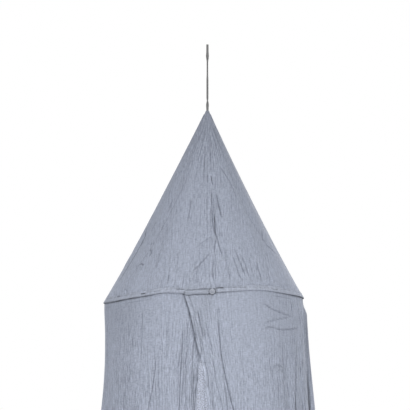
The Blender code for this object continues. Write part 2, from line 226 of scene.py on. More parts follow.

# Creases, placed one by one. Each has its half width and its depth in millimetres, how dark it is,
# the side on which the cloth stands up beside it (-1 left, 1 right, 0 neither), and its line.
# Lines on the cone are angles and shares.
# How dark a crease is gives the painted shade in it
ROOF_CREASES = (
    (1.5, 1.3, 0.36, 1, ((7.9, 0.385), (8.5, 0.41), (9.9, 0.45))),
    (1.6, 1.2, 0.28, 0, ((1.6, 0.38), (1.9, 0.405), (2, 0.43))),
    (1.5, 1.4, 0.27, -1, ((6.4, 0.46), (7, 0.51), (7, 0.62), (6.8, 0.68), (5.4, 0.72))),
    (1.5, 1.1, 0.17, 1, ((9.4, 0.51), (8.8, 0.57), (8.4, 0.62))),
    (1.8, 2, 0.46, 1, ((8.8, 0.6), (9, 0.645), (8.8, 0.685), (8.9, 0.72), (9.5, 0.745))),
    (1.7, 1.5, 0.3, 1, ((9.2, 0.705), (10.6, 0.775), (12.9, 0.85))),
    (1.5, 1.3, 0.34, -1, ((6.9, 0.61), (7.1, 0.65), (7.6, 0.69), (8.5, 0.73))),
    (1.8, 1.6, 0.34, 1, ((13.2, 0.485), (14.2, 0.54), (15.2, 0.59), (16.3, 0.645))),
    (1.8, 1.2, 0.26, 1, ((9, 0.74), (7.8, 0.78), (6.6, 0.83))),
    (1.6, 0.9, 0.18, -1, ((6.2, 0.81), (5.8, 0.88), (5.4, 0.98))),
    (1.6, 0.9, 0.18, 1, ((7.8, 0.81), (7.2, 0.88), (6.8, 0.98))),
    (1.8, 1, 0.2, -1, ((5.4, 0.73), (0.4, 0.75), (-4.8, 0.775))),
    (1.8, 1.1, 0.24, -1, ((4.6, 0.81), (0.4, 0.85), (-3.8, 0.885), (-8.4, 0.925))),
    (1.8, 1, 0.22, 1, ((-17.2, 0.52), (-16.2, 0.59), (-16.6, 0.655))),
    (1.8, 1, 0.2, -1, ((-44.2, 0.5), (-42.6, 0.58))),
    (1.8, 1, 0.22, 0, ((-56.6, 0.61), (-57, 0.67))),
    (2, 1, 0.32, 0, ((-46.2, 0.768), (-43, 0.79), (-43.2, 0.815))),
    (2.2, 1.2, 0.36, 0, ((-51.2, 0.846), (-48.2, 0.845), (-44.5, 0.858))),
    (1.8, 0.9, 0.16, 0, ((-54.2, 0.84), (-52, 0.86), (-49.6, 0.89))),
    (1.8, 0.8, 0.14, 0, ((-54.4, 0.73), (-49, 0.74), (-43, 0.742))),
    (2, 1, 0.22, -1, ((-55, 0.965), (-52.4, 0.972), (-49.6, 0.99))),
    (9, 1.6, 0.07, 1, ((-36.7, 0.64), (-35.3, 0.74), (-34.1, 0.81), (-34.6, 0.92))),
    (1.8, 1, 0.18, -1, ((15.2, 0.79), (14.4, 0.87), (15.4, 0.985))),
    (1.8, 1.2, 0.26, 1, ((19.4, 0.83), (20.4, 0.88), (21.4, 0.94), (22.8, 0.985))),
    (1.8, 1.1, 0.22, 1, ((22.2, 0.8), (23.9, 0.88), (26, 0.985))),
    (1.8, 1.1, 0.22, 1, ((25.7, 0.83), (27.3, 0.9), (27.8, 0.985))),
    (1.8, 1.2, 0.28, 1, ((37.4, 0.865), (36.2, 0.91), (35.6, 0.975))),
    (1.6, 0.9, 0.16, -1, ((31.4, 0.87), (31, 0.97))),
    (1.8, 1.1, 0.26, 1, ((61.8, 0.675), (58, 0.71), (54.8, 0.748))),
    (1.8, 1.1, 0.24, 1, ((56.5, 0.755), (62.5, 0.78), (70, 0.806))),
    (1.6, 0.8, 0.16, 0, ((-4.2, 0.2), (-3.6, 0.33), (-2.5, 0.45))),
    (1.8, 1, 0.11, 1, ((11.2, 0.14), (9.4, 0.25), (8.9, 0.33))),
    (1.8, 1, 0.22, 1, ((39, 0.1), (43.4, 0.23), (47.5, 0.33))),
    (1.8, 1, 0.2, 1, ((24.8, 0.33), (33, 0.39), (38, 0.435), (40, 0.53))),
    (1.4, 0.8, 0.16, 1, ((24, 0.14), (28.4, 0.25))),
    (1.6, 0.9, 0.16, -1, ((-17.6, 0.89), (-18.8, 0.8))),
    (1.6, 1, 0.22, 0, ((-21.4, 0.93), (-20.6, 0.99))),
    (1.6, 1, 0.2, 0, ((-25.6, 0.95), (-24.6, 1))),
)

# Lines beside the side seams, where the turned-in cloth shows through: angle and share
SEAM_LINES = (
    (1.8, 0.8, 0.15, 0, ((-28, 0.24), (-32, 0.43), (-42.4, 0.68), (-48.8, 0.82), (-58.8, 0.98))),
    (1.8, 0.8, 0.13, 0, ((43.4, 0.23), (47, 0.41), (49.8, 0.6), (58.6, 0.77), (62, 0.88))),
    (2.2, 1, 0.4, 0, ((-73.5, 0.62), (-69, 0.66), (-65.5, 0.7), (-67, 0.815), (-68.5, 0.87), (-73, 0.955))),
)

# Creases of the curtain, with painted shade: lines are angles and drops in millimetres
CURTAIN_CREASES = (
    (1.7, 2, 0.34, -1,
     ((7.1, 22), (8, 80), (8.4, 115), (9.1, 153), (10.9, 195),
      (12.1, 222), (14, 258), (18, 330), (22.5, 450))),
    (1.5, 1.3, 0.26, 1, ((9.6, 190), (10.6, 232), (11.2, 270), (11.8, 350))),
    (1.4, 1.4, 0.32, 1, ((-27.4, 138), (-28, 165), (-29, 190), (-30.4, 218), (-33.4, 267), (-37.6, 360))),
    (1.3, 1.2, 0.36, -1, ((-11.4, 60), (-11.8, 90), (-12.5, 128), (-14, 200), (-15.2, 271), (-16.4, 360))),
    (1.2, 1, 0.27, -1, ((-7.4, 92), (-8.6, 118), (-10.2, 146), (-11.6, 178))),
    (1.4, 1.2, 0.24, 1, ((-10, 150), (-10.5, 180), (-11, 215), (-11.3, 290))),
    (1.2, 1, 0.3, -1, ((-4.6, 78), (-5.9, 120), (-6.9, 164), (-7.7, 215), (-8.4, 290))),
    (1.6, 1.2, 0.28, 1, ((-6.1, 165), (-6.8, 211), (-7.1, 265), (-7.6, 330))),
    (1.3, 1.2, 0.42, 1, ((-1.4, 118), (-3, 164), (-5.2, 218), (-6.4, 270), (-7.4, 340))),
    (1.2, 0.9, 0.27, 0, ((-3.2, 142), (-4.4, 185), (-5, 215))),
    (1.2, 0.9, 0.24, -1, ((-9, 60), (-9.4, 95), (-10, 130))),
    (1.2, 0.9, 0.28, 1, ((-11.4, 140), (-12.2, 185), (-13.2, 230), (-13.9, 268))),
    (1.6, 0.9, 0.17, 0, ((37.6, 188), (40.6, 172), (44.6, 168), (48.6, 178))),
    (1.4, 0.8, 0.13, 0, ((41, 187), (44, 179), (47.5, 185))),
    (1.4, 0.8, 0.14, 1, ((-13.8, 120), (-15, 190), (-16.4, 270))),
    (1.4, 1.2, 0.42, 1, ((-3.6, 34), (-2.4, 60), (-1.2, 85), (-0.2, 112))),
    (1.3, 1, 0.14, 1, ((-2.2, 25), (-1.5, 52), (0.2, 90), (1.4, 130))),
    (1.4, 0.9, 0.2, 1, ((0.8, 70), (1.9, 88), (3.5, 122), (4.4, 150))),
    (1.4, 1, 0.2, 1, ((3.6, 140), (4.6, 165), (5.6, 207), (7.6, 245), (9.2, 300))),
    (1.4, 0.9, 0.18, -1, ((2.4, 150), (3, 200), (3.6, 260), (4.2, 330))),
    (1.3, 1, 0.3, 1, ((-5.8, 44), (-5.2, 66), (-4.2, 95), (-2.6, 124))),
    (1.6, 0.9, 0.16, 0, ((-35.6, 30), (-36.1, 95), (-37.2, 155))),
    (1.6, 0.9, 0.18, 0, ((-43.2, 88), (-41.6, 120))),
    (1.6, 0.9, 0.16, 0, ((-45.5, 60), (-45.5, 92))),
    (1.6, 0.9, 0.16, 1, ((-44.4, 165), (-45.8, 200))),
    (1.6, 0.8, 0.12, 1, ((-20.4, 60), (-20.8, 110), (-21.4, 170))),
    (1.8, 1, 0.18, -1, ((-50.5, 215), (-52.5, 290))),
    (1.8, 1.2, 0.2, -1, ((-70, 24), (-71, 110), (-72.5, 250))),
    (1.8, 1.1, 0.22, 0, ((33, 26), (38.5, 37), (45.5, 45), (53, 49), (61, 51))),
    (1.8, 1, 0.2, 0, ((33.8, 76), (41.5, 66), (49.5, 58), (57, 53))),
    (1.8, 1.1, 0.25, 0, ((32.6, 90), (38.4, 83), (44.5, 85), (51, 84), (58.5, 80), (68, 73))),
    (1.6, 1.1, 0.22, 1, ((47.4, 115), (47.8, 140), (47.6, 184), (47.2, 290))),
    (1.6, 1.1, 0.22, -1, ((52.4, 110), (52.1, 142), (51, 165), (50.8, 195))),
    (1.6, 1.2, 0.26, 1, ((51.2, 202), (51.6, 215), (53.2, 245))),
    (2, 1.3, 0.36, 1, ((62.9, 110), (60.8, 160), (59.8, 185), (58.6, 220), (57.3, 262), (54.4, 360))),
    (3, 1.4, 0.22, -1, ((74.2, 80), (73.6, 115), (71.6, 150), (69.6, 190))),
    (1.5, 0.9, 0.18, -1, ((42.2, 190), (42.8, 236))),
    (1.5, 0.8, 0.14, -1, ((37, 150), (37.8, 200))),
    (2, 1.8, 0.22, 1, ((57.6, 12), (58.6, 28), (58.8, 44))),
    (2, 1.8, 0.3, 1, ((66, 12), (68, 30), (70, 52), (71.5, 80))),
    (2, 1.6, 0.26, 1, ((74.6, 14), (76, 60), (77, 110))),
    (1.5, 0.7, 0.12, -1, ((-47.5, 9), (-42, 9.5), (-37, 8.5), (-32, 7.5))),
    (1.6, 0.8, 0.14, -1, ((38.5, 12), (43, 9.5), (47, 8.5), (53, 8), (59.5, 8.5))),
)

# Broad soft painted shade of the curtain and of the cone. Each row: angle and drop in millimetres (or
# share), how far they reach to both sides and up and down, and how dark it is
CURTAIN_PAINTED_SHADE = (
    (-49, 30, 20, 66, 0.2), (-50, 180, 16, 110, 0.085), (36, 30, 16, 60, 0.06),
    (60, 120, 24, 260, 0.08), (47, 300, 12, 150, 0.07), (92, 90, 6, 90, 0.36),
    (82.6, 255, 1.8, 55, 0.35), (90.7, 260, 1.5, 80, 0.6), (92.5, 420, 3, 120, 0.42),
    (95, 650, 4, 190, 0.28), (-3, 22, 7, 30, 0.05),
)
ROOF_PAINTED_SHADE = (
    (-3, 0.95, 5, 0.1, 0.08), (52, 0.95, 20, 0.25, 0.05), (66, 0.5, 26, 0.4, 0.06),
    (0, 0.06, 70, 0.13, 0.17),
)

# How strong the crinkle is: angle and drop in millimetres (or share), how far, and how much more
CURTAIN_CRINKLE = (
    (-3, 260, 12, 190, 0.78), (-66, 300, 18, 200, 0.3), (-42, 270, 12, 140, 0.25),
    (74, 280, 12, 220, 0.85), (58, 230, 9, 120, 0.3), (-35, 20, 40, 60, -0.46),
    (24, 20, 16, 50, -0.35), (26, 110, 15, 70, -0.34), (44, 50, 16, 60, -0.3),
)
ROOF_CRINKLE = (
    (6, 0.5, 12, 0.34, 0.35), (26, 0.9, 16, 0.14, 0.45), (0, 0.16, 80, 0.16, 0.62),
    (-6, 0.95, 12, 0.1, 0.35),
)
# The crinkle without those patches, and how much more of it the curtain has
LEAST_CRINKLE = 0.54
CURTAIN_MORE = 0.22

# Puckers along the band's upper stitch line, with painted shade: angle, and millimetres above the seam
BAND_CREASES = (
    (1.7, 0.8, 0.5, -1, ((-58.2, 9), (-56.4, 9.5), (-54.4, 9.1))),
    (1.7, 0.9, 0.5, -1, ((-37, 5.6), (-35, 5), (-33, 5.6))),
    (1.2, 0.6, 0.2, -1, ((-28.5, 5.2), (-26, 4.6), (-23.5, 5))),
    (1.3, 0.6, 0.28, -1, ((-15.4, 7.6), (-12.6, 8), (-10.2, 7.6))),
    (1.3, 0.9, 0.55, -1, ((-2.8, 8.6), (0.2, 9), (3, 8.6))),
    (1.9, 1.1, 0.6, -1, ((6.2, 8.6), (8.8, 9.6), (11.6, 8.6))),
    (1.3, 0.6, 0.28, -1, ((11, 9.4), (13, 9.6), (15.4, 9.2))),
    (1.2, 0.6, 0.26, -1, ((40.5, 5.2), (43, 5), (45.4, 5.4))),
    (1.2, 0.6, 0.24, -1, ((50.6, 9.2), (52.4, 9.5), (54.2, 9.2))),
)

# The band's upper stitch line: angle, height above the seam in millimetres, how dark its painted shade is
STITCH_LINE = (
    (-180, 8.5, 0.2), (-66, 9, 0.12), (-56, 9.2, 0.2), (-46, 7, 0.08), (-36, 5.6, 0.14),
    (-24, 6.2, 0.08), (-15, 7.6, 0.24), (2, 8.6, 0.26), (10, 8.8, 0.3), (15, 8.8, 0.34),
    (22, 6.8, 0.34), (30, 5.4, 0.3), (43, 5.2, 0.2), (54, 9.2, 0.16), (180, 8.5, 0.2),
)

# How dark the painted shadow in the seam under the band is: angle, and share of its darkest
SEAM_SHADOW = (
    (-180, 0.8), (-70, 1), (-66.5, 0.65), (-62, 1), (-51, 0.95), (-47.5, 0.6), (-45, 0.9),
    (-40, 0.85), (-37, 0.5), (-34, 0.8), (-28, 0.6), (-25, 0.25), (-13, 0.12), (-10, 0.6),
    (-4, 0.9), (2, 0.9), (5, 0.6), (10, 0.7), (18, 0.35), (24, 0.14), (35, 0.12), (42, 0.38),
    (52, 0.6), (61, 1), (180, 0.8),
)


def smooth(share):
    """An eased step from 0 to 1."""
    share = np.clip(share, 0.0, 1.0)
    return share * share * (3.0 - 2.0 * share)


def turned(angle):
    """Angles in degrees brought between -180 and 180."""
    return (angle + 180.0) % 360.0 - 180.0


def bump_at(value, middle, half_width):
    """A smooth hump of height 1."""
    return np.exp(-(((value - middle) / half_width) ** 2))


def outwards(angle):
    """Level directions away from the axis at angles round the canopy."""
    turn = np.radians(angle)
    return np.stack([np.sin(turn), -np.cos(turn), np.zeros_like(turn)], axis=-1)


def seam_height(angle):
    """Height of the seam under the band."""
    height = -LOOP_DROP - CONE_DROP + HOOP_TILT * HOOP_RADIUS * np.sin(np.radians(angle))
    for at, width, lift in HOOP_BENDS:
        height = height + lift * bump_at(turned(angle - at), 0.0, width)
    return height


def at_hoop(angle, out, up):
    """Points round the hoop, outwards and upwards of the seam."""
    angle, out, up = np.broadcast_arrays(*(np.asarray(v, float) for v in (angle, out, up)))
    points = (HOOP_RADIUS + out)[..., None] * outwards(angle)
    points[..., 0] += HOOP_SHIFT
    points[..., 2] = seam_height(angle) + up
    return points


def roof_surface(angle, share, out):
    """Points of the cone, out from its surface with its main folds."""
    top, below = Vector(BAND_PROFILE[0]), Vector(BAND_PROFILE[1])
    edge = top + GAP * (top - below).normalized()
    tip = APEX_RADIUS * outwards(angle)
    tip[..., 2] -= LOOP_DROP
    points = tip + (at_hoop(angle, edge.x, edge.y) - tip) * share[..., None]
    radius = np.maximum(HOOP_RADIUS * share, APEX_RADIUS)
    held = smooth((1.0 - share) / HELD_AT_BAND) * smooth(share / HELD_AT_POINT)
    inwards = np.zeros_like(radius)
    for at, width, depth, deepest in ROOF_FOLDS:
        half_width = width * np.maximum(share, NARROWEST_SHARE)
        across = np.radians(turned(angle - at)) * radius / half_width
        along = bump_at(share, deepest, ROOF_FOLD_REACH) - bump_at(0.0, deepest, ROOF_FOLD_REACH)
        inwards += depth * np.maximum(along, 0.0) * held * np.exp(-(across**2))
    side = CONE_SAG + CONE_SAG_TO_THE_RIGHT * np.sin(np.radians(angle))
    inwards += side * np.sin(math.pi * np.clip(share, 0.0, 1.0)) ** CONE_SAG_POWER
    steep = math.atan2(HOOP_RADIUS, CONE_DROP)
    points += (out * math.cos(steep) - inwards)[..., None] * outwards(angle)
    points[..., 2] += out * math.sin(steep)
    return points


def side_swell(angle, drop):
    """How far the curtain stands out past the sides of the hoop."""
    swell = 0.0
    for side, start, over, quick, quick_by, slow, slow_from, slow_over in SIDE_SWELLS:
        past = side * turned(angle) - start
        ends = smooth((180.0 - side * turned(angle)) / SWELL_ENDS_OVER)
        height = quick * smooth(drop / quick_by) + slow * smooth((drop - slow_from) / slow_over)
        swell = swell + smooth(past / over) * ends * height
    return swell


def curtain_radius(angle, drop):
    """The curtain's radius, folds and flare included."""
    down = drop / CURTAIN_DROP
    radius = HOOP_RADIUS + FLARE * down**FLARE_POWER + side_swell(angle, drop)
    for at_top, at_hem, width, depth, start in CURTAIN_FOLDS:
        grown = np.maximum((drop - start) / (CURTAIN_DROP - start), 0.0) ** FOLD_POWER
        at = at_top + (at_hem - at_top) * down**FOLD_DRIFT_POWER
        half_width = FOLD_LEAST_WIDTH + (width - FOLD_LEAST_WIDTH) * grown
        across = np.radians(turned(angle - at)) * radius / half_width
        radius = radius - depth * grown * np.exp(-(across**2))
    return radius


def curtain_shift(drop):
    """How far to the side the curtain's middle is."""
    return HOOP_SHIFT * (1.0 - smooth(drop / CENTRED_BY))


def curtain_surface(angle, drop, out):
    """Points of the curtain, out from its surface with its main folds."""
    level = -LOOP_DROP - CONE_DROP
    top = seam_height(angle) + (level - seam_height(angle)) * smooth(drop / LEVEL_BY)
    points = (curtain_radius(angle, drop) + out)[..., None] * outwards(angle)
    points[..., 0] += curtain_shift(drop)
    points[..., 2] = top + BAND_PROFILE[3][1] - CLOTH / 2 - CURTAIN_BELOW_BAND - drop
    return points


def edge_angle(drop, column):
    """The angle of the left or of the right front edge, by its column in FRONT_EDGES."""
    across = np.interp(drop, *np.array(FRONT_EDGES).T[[0, column]])
    reach = (across - curtain_shift(drop)) / curtain_radius(np.zeros_like(drop), drop)
    return np.degrees(np.arcsin(reach))


def arc(angle):
    """How far round the hoop angles reach, in metres."""
    return np.radians(angle) * HOOP_RADIUS


def roof_flat(angle, share):
    """The cone's cloth laid flat, in metres."""
    turn = arc(angle) / SLANT
    return np.stack([SLANT * share * np.sin(turn), SLANT * share * np.cos(turn)], axis=-1)


def hoop_flat(angle, down):
    """The cloth round the hoop laid flat, in metres."""
    return np.stack(np.broadcast_arrays(arc(angle), down), axis=-1)


def noise(across, down, seed):
    """Smooth uneven values from -1 to 1, about one hump to each unit."""
    size = 128
    table = np.random.default_rng(seed).uniform(-1.0, 1.0, (size, size))
    column, row = np.floor(across).astype(int), np.floor(down).astype(int)
    right, low = smooth(across - column), smooth(down - row)
    corners = [table[(row + i) % size, (column + j) % size] for i in (0, 1) for j in (0, 1)]
    upper = corners[0] + (corners[1] - corners[0]) * right
    lower = corners[2] + (corners[3] - corners[2]) * right
    return upper + (lower - upper) * low


def curve_through(points, steps=6):
    """A smooth line through points, as many steps between each two."""
    points = np.asarray(points, float)
    ends = np.vstack([2 * points[0] - points[1], points, 2 * points[-1] - points[-2]])
    line = []
    for before, start, end, after in zip(ends, ends[1:], ends[2:], ends[3:]):
        for t in np.arange(steps) / steps:
            bend = (2 * before - 5 * start + 4 * end - after) * t
            bend += (3 * (start - end) + after - before) * t**2
            line.append(start + 0.5 * t * (end - before + bend))
    return np.vstack([line, points[-1]])


def beside(places, line):
    """How far places lie to the right of a line, and how far along it, from 0 to 1."""
    steps = np.diff(line, axis=0)
    lengths = np.hypot(*steps.T)
    before = np.concatenate([[0.0], np.cumsum(lengths)])
    nearest = np.full(len(places), np.inf)
    side = np.zeros(len(places))
    along = np.zeros(len(places))
    for start, step, length, passed in zip(line, steps, lengths, before):
        offset = places - start
        share = np.clip(offset @ step / length**2, 0.0, 1.0)
        away = offset - share[:, None] * step
        distance = np.hypot(*away.T)
        closer = distance < nearest
        turn = offset[:, 0] * step[1] - offset[:, 1] * step[0]
        nearest[closer] = distance[closer]
        side[closer] = np.copysign(distance, turn)[closer]
        along[closer] = ((passed + share * length) / before[-1])[closer]
    return side, along


# How a crease looks: how much darker its painted shade is than its row says, and the darkest;
# the raised cloth beside it, with its share of the depth, its painted highlight, and its place and
# width in half widths of the crease; and the shares of the line over which it fades in and out
SHADE_SCALE = 1.7
DARKEST = 0.85
RIDGE_SHARE = 0.55
RIDGE_LIGHT = 0.4
RIDGE_AT = 2.1
RIDGE_WIDTH = 1.3
FADE_IN = 0.16
FADE_OUT = 0.24


def crease_field(flat, creases, flatten):
    """How deep creases leave cloth at its flattened places, with the painted shade in them and the painted
    highlight beside them.
    """
    depth = np.zeros(flat.shape[:-1])
    dark = np.zeros(flat.shape[:-1])
    for half_width, deep, shade, ridge, points in creases:
        width = half_width * MM
        line = curve_through(flatten(*np.array(points, float).T))
        reach = 5.0 * width
        inside = (flat > line.min(axis=0) - reach) & (flat < line.max(axis=0) + reach)
        near = inside.all(axis=-1)
        side, along = beside(flat[near], line)
        fade = smooth(along / FADE_IN) * smooth((1.0 - along) / FADE_OUT)
        trough = bump_at(side, 0.0, width)
        beside_it = abs(ridge) * RIDGE_SHARE * bump_at(side, ridge * RIDGE_AT * width, RIDGE_WIDTH * width)
        depth[near] += deep * MM * fade * (trough - beside_it)
        # Painted shade along the crease, and painted highlight on the raised cloth beside it
        strength = min(SHADE_SCALE * shade, DARKEST) * fade
        dark[near] = np.maximum(dark[near], strength * trough) - RIDGE_LIGHT * strength * beside_it
    return depth, dark


def spread(angle, down, rows):
    """The sum of soft patches: places, how far they reach, and their strengths."""
    total = np.zeros(np.broadcast(angle, down).shape)
    for at, low, wide, high, strength in rows:
        total += strength * bump_at(angle, at, wide) * bump_at(down, low, high)
    return total


def strands(across, down, spacing, length, seed):
    """Narrow broken lines that run down the cloth, a spacing apart, in stretches of a length."""
    drift = 1.3 * noise(across / (7.0 * spacing), down / (4.0 * length), seed)
    drift += 0.35 * noise(across / (2.5 * spacing), down / (1.2 * length), seed + 1)
    place = across / spacing + drift
    nearest = np.round(place)
    strength = smooth(0.5 + 0.9 * noise(7.31 * nearest, down / length + 3.7 * nearest, seed + 2))
    trough = (0.5 + 0.5 * np.cos(math.tau * place)) ** 3
    ridge = (0.5 + 0.5 * np.cos(math.tau * (place - 0.36))) ** 3
    return strength * (trough - 0.35 * ridge)


def crinkle_field(across, down, seed):
    """The crinkle of the cotton: its lines, fine and stronger ones, and its soft waves."""
    fine = strands(across, down, 0.0052, 0.028, seed)
    line = strands(across, down, 0.0092, 0.052, seed + 10)
    here = smooth(0.55 + 1.0 * noise(across / 0.045, down / 0.11, seed + 20))
    wave = noise(across / 0.016, down / 0.12, seed + 21)
    return 0.75 * fine + 0.95 * line * here, wave


# Rays of the cone's gathers at its point: degrees from ray to ray, and the share where they show
CONE_RAYS = ((11, 0.12), (5.6, 0.26))
RAY_SPREAD = 0.7


def cone_rays(angle, share, seed):
    """Lines that run out from the cone's point."""
    slant = share * SLANT
    lines = np.zeros_like(share)
    for i, (spacing, at) in enumerate(CONE_RAYS):
        weight = bump_at(np.log2(np.maximum(share, 0.01) / at), 0.0, RAY_SPREAD)
        lines += weight * strands(angle, slant, spacing, 0.045, seed + 30 * i)
        lines += 0.7 * weight * strands(angle, slant, 0.55 * spacing, 0.025, seed + 30 * i + 5)
    return lines


# Meshes


def put_in_scene(name, data):
    """A new object of the scene."""
    obj = bpy.data.objects.new(name, data)
    bpy.context.scene.collection.objects.link(obj)
    return obj


def mesh_from(bm, name):
    """A new mesh of what a bmesh holds, which is then freed."""
    mesh = bpy.data.meshes.new(name)
    bm.to_mesh(mesh)
    bm.free()
    return mesh


def add_piece(name, mesh, material):
    """Puts a mesh in the scene as a smooth object of one material."""
    mesh.materials.append(material)
    mesh.shade_smooth()
    return put_in_scene(name, mesh)


def cloth_piece(name, points, flat, dark, material, closed=False, wall=0.0, crinkle=None, weave=None):
    """A sheet of quads on rows of points, with its flat places as a UV map in metres."""
    rows, columns = points.shape[:2]
    index = np.arange(rows * columns).reshape(rows, columns)
    after = np.roll(index, -1, axis=1)
    if not closed:
        index, after = index[:, :-1], after[:, :-1]
    corners = np.stack([index[:-1], index[1:], after[1:], after[:-1]], axis=-1).reshape(-1, 4)
    mesh = bpy.data.meshes.new(name)
    mesh.from_pydata(points.reshape(-1, 3).tolist(), [], corners.tolist())
    places = flat.reshape(-1, 2)[corners.ravel()]
    mesh.uv_layers.new(name="cloth").data.foreach_set("uv", places.ravel())
    # The first of these carries painted shade, painted highlight where it is below 0, and the darker
    # crinkle and seam lines of the cloth itself
    for title, values in (("density_and_painted_shade", dark), ("crinkle", crinkle), ("weave", weave)):
        if values is not None:
            mesh.attributes.new(title, "FLOAT", "POINT").data.foreach_set("value", values.ravel())
    obj = add_piece(name, mesh, material)
    if wall > 0.0:
        thickness = obj.modifiers.new("wall", "SOLIDIFY")
        thickness.thickness = wall
        thickness.offset = 0.0
    return obj


def applied(obj):
    """The object with its modifiers made part of its mesh."""
    depsgraph = bpy.context.evaluated_depsgraph_get()
    mesh = bpy.data.meshes.new_from_object(obj.evaluated_get(depsgraph), depsgraph=depsgraph)
    obj.modifiers.clear()
    obj.data = mesh
    return obj


# Shaders


class Value:
    """A shader socket that takes part in Python expressions."""

    def __init__(self, shader, socket):
        self.shader = shader
        self.socket = socket

    def worked(self, operation, first, second):
        return self.shader.add("ShaderNodeMath", {"operation": operation}, {0: first, 1: second})

    def __add__(self, other):
        return self.worked("ADD", self, other)

    def __sub__(self, other):
        return self.worked("SUBTRACT", self, other)

    def __rsub__(self, other):
        return self.worked("SUBTRACT", other, self)

    def __mul__(self, other):
        return self.worked("MULTIPLY", self, other)

    __radd__ = __add__
    __rmul__ = __mul__


class Shader:
    """A new material and the nodes that are added to it."""

    def __init__(self, name):
        self.material = bpy.data.materials.new(name)
        self.material.use_nodes = True
        self.tree = self.material.node_tree
        self.tree.nodes.clear()

    def add(self, kind, settings=None, values=None, output=0):
        """Adds a node: its settings first, then the values or links of its sockets."""
        node = self.tree.nodes.new(kind)
        for name, value in (settings or {}).items():
            setattr(node, name, value)
        for name, value in (values or {}).items():
            if isinstance(value, Value):
                self.tree.links.new(value.socket, node.inputs[name])
            else:
                node.inputs[name].default_value = value
        return Value(self, node.outputs[output])

    def flat(self):
        """Places on the cloth laid flat."""
        return self.add("ShaderNodeUVMap", {"uv_map": "cloth"})

    def place(self):
        """Places in the object's own space."""
        return self.add("ShaderNodeTexCoord", output=3)

    def carried(self, title):
        """A value that the mesh carries at its points."""
        return self.add("ShaderNodeAttribute", {"attribute_name": title}, output=2)

    def noise(self, place, scale, detail=2.0):
        """Noise from 0 to 1, stretched by a scale along each axis."""
        mapped = self.add("ShaderNodeMapping", None, {"Vector": place, "Scale": scale})
        return self.add("ShaderNodeTexNoise", None, {"Vector": mapped, "Scale": 1.0, "Detail": detail})

    def bumps(self, height, strength, distance):
        """A normal bent by a height."""
        values = {"Height": height, "Strength": strength, "Distance": distance}
        return self.add("ShaderNodeBump", None, values)

    def surface(self, colour, tone, rough, shine, more=None):
        """A surface of a colour that a tone makes brighter or darker."""
        base = self.add("ShaderNodeVectorMath", {"operation": "SCALE"}, {0: tuple(colour), "Scale": tone})
        values = {"Base Color": base, "Roughness": rough, "Specular IOR Level": shine}
        return self.add("ShaderNodeBsdfPrincipled", None, {**values, **(more or {})})

    def finish(self, surface):
        """Sets the material's surface."""
        output = self.tree.nodes.new("ShaderNodeOutputMaterial")
        self.tree.links.new(surface.socket, output.inputs["Surface"])
        return self.material


def cotton(name, colour, canopy, tip_shade=None):
    """Thin crinkled cotton that lets some light through, with painted shade in its creases and less light
    through them.
    """
    shader = Shader(name)
    flat = shader.flat()
    density_and_painted_shade, crinkle, weave = (shader.carried(title) for title in ("density_and_painted_shade", "crinkle", "weave"))
    slub = shader.noise(flat, (330.0, 60.0, 1.0))
    cross = shader.noise(flat, (150.0, 300.0, 1.0))
    mottle = shader.noise(flat, (30.0, 12.0, 1.0))
    holes = shader.noise(flat, (300.0, 260.0, 1.0), 1.0)
    tone = 1.0 + (0.4 + 1.1 * crinkle) * (slub - 0.5) + 0.85 * (cross - 0.5) + 0.16 * (mottle - 0.5)
    # The back's open weave, with the backlight through its holes painted as lighter and darker dots
    tone = tone + weave * (4.4 * (holes - 0.5) - 0.15)
    # Darker towards the cone's point: partly the closely gathered cloth there, partly painted shade
    if tip_shade is not None:
        height = shader.add("ShaderNodeSeparateXYZ", None, {0: shader.place()}, 2)
        reach = {"From Min": -LOOP_DROP - CONE_DROP, "From Max": -LOOP_DROP}
        values = {"Value": height, **reach, "To Min": 1.0, "To Max": tip_shade}
        tone = tone * shader.add("ShaderNodeMapRange", None, values)
    normal = shader.bumps(0.6 * slub + 0.4 * cross, 0.5, 0.0006)
    more = {"Sheen Weight": 0.04, "Sheen Roughness": 0.6, "Normal": normal}
    # Painted shade in creases and shadows, and painted highlight where the value is below 0
    cloth = shader.surface(colour, tone * (1.0 - density_and_painted_shade), 0.92, 0.15, more)
    values = {"Color": (*canopy.through_colour, 1.0), "Normal": normal}
    light = shader.add("ShaderNodeBsdfTranslucent", None, values)
    # Less light goes through where shade is painted
    share = canopy.through * (1.0 - 0.8 * density_and_painted_shade)
    return shader.finish(shader.add("ShaderNodeMixShader", None, {0: share, 1: cloth, 2: light}))


def woven_tape(name, colour):
    """A dense woven tape with a slanting rib."""
    shader = Shader(name)
    flat = shader.flat()
    across, along = (shader.add("ShaderNodeSeparateXYZ", None, {0: flat}, axis) for axis in (0, 1))
    rib = shader.add("ShaderNodeMath", {"operation": "SINE"}, {0: 5200.0 * along + 3600.0 * across})
    fuzz = shader.noise(flat, (900.0, 900.0, 1.0))
    tone = 0.95 + 0.04 * rib + 0.1 * (fuzz - 0.5)
    normal = {"Normal": shader.bumps(rib, 0.2, 0.0001)}
    return shader.finish(shader.surface(colour, tone, 0.85, 0.25, normal))


def thread(name, colour):
    """Sewing thread with a fine twist."""
    shader = Shader(name)
    twist = shader.noise(shader.place(), (1500.0, 1500.0, 1500.0), 1.0)
    return shader.finish(shader.surface(colour, 0.85 + 0.3 * twist, 0.6, 0.35))


def moulded(name, colour, roughness):
    """Moulded plastic, faintly clouded, with a fine grain, and painted shade in its hollows."""
    shader = Shader(name)
    place = shader.place()
    cloud = shader.noise(place, (160.0, 160.0, 160.0), 3.0)
    grain = shader.noise(place, (2600.0, 2600.0, 2600.0), 1.0)
    tone = (0.92 + 0.16 * cloud) * (1.0 - shader.carried("density_and_painted_shade"))
    rough = roughness + 0.12 * (cloud - 0.5)
    normal = {"Normal": shader.bumps(grain, 0.1, 0.0001)}
    return shader.finish(shader.surface(colour, tone, rough, 0.45, normal))


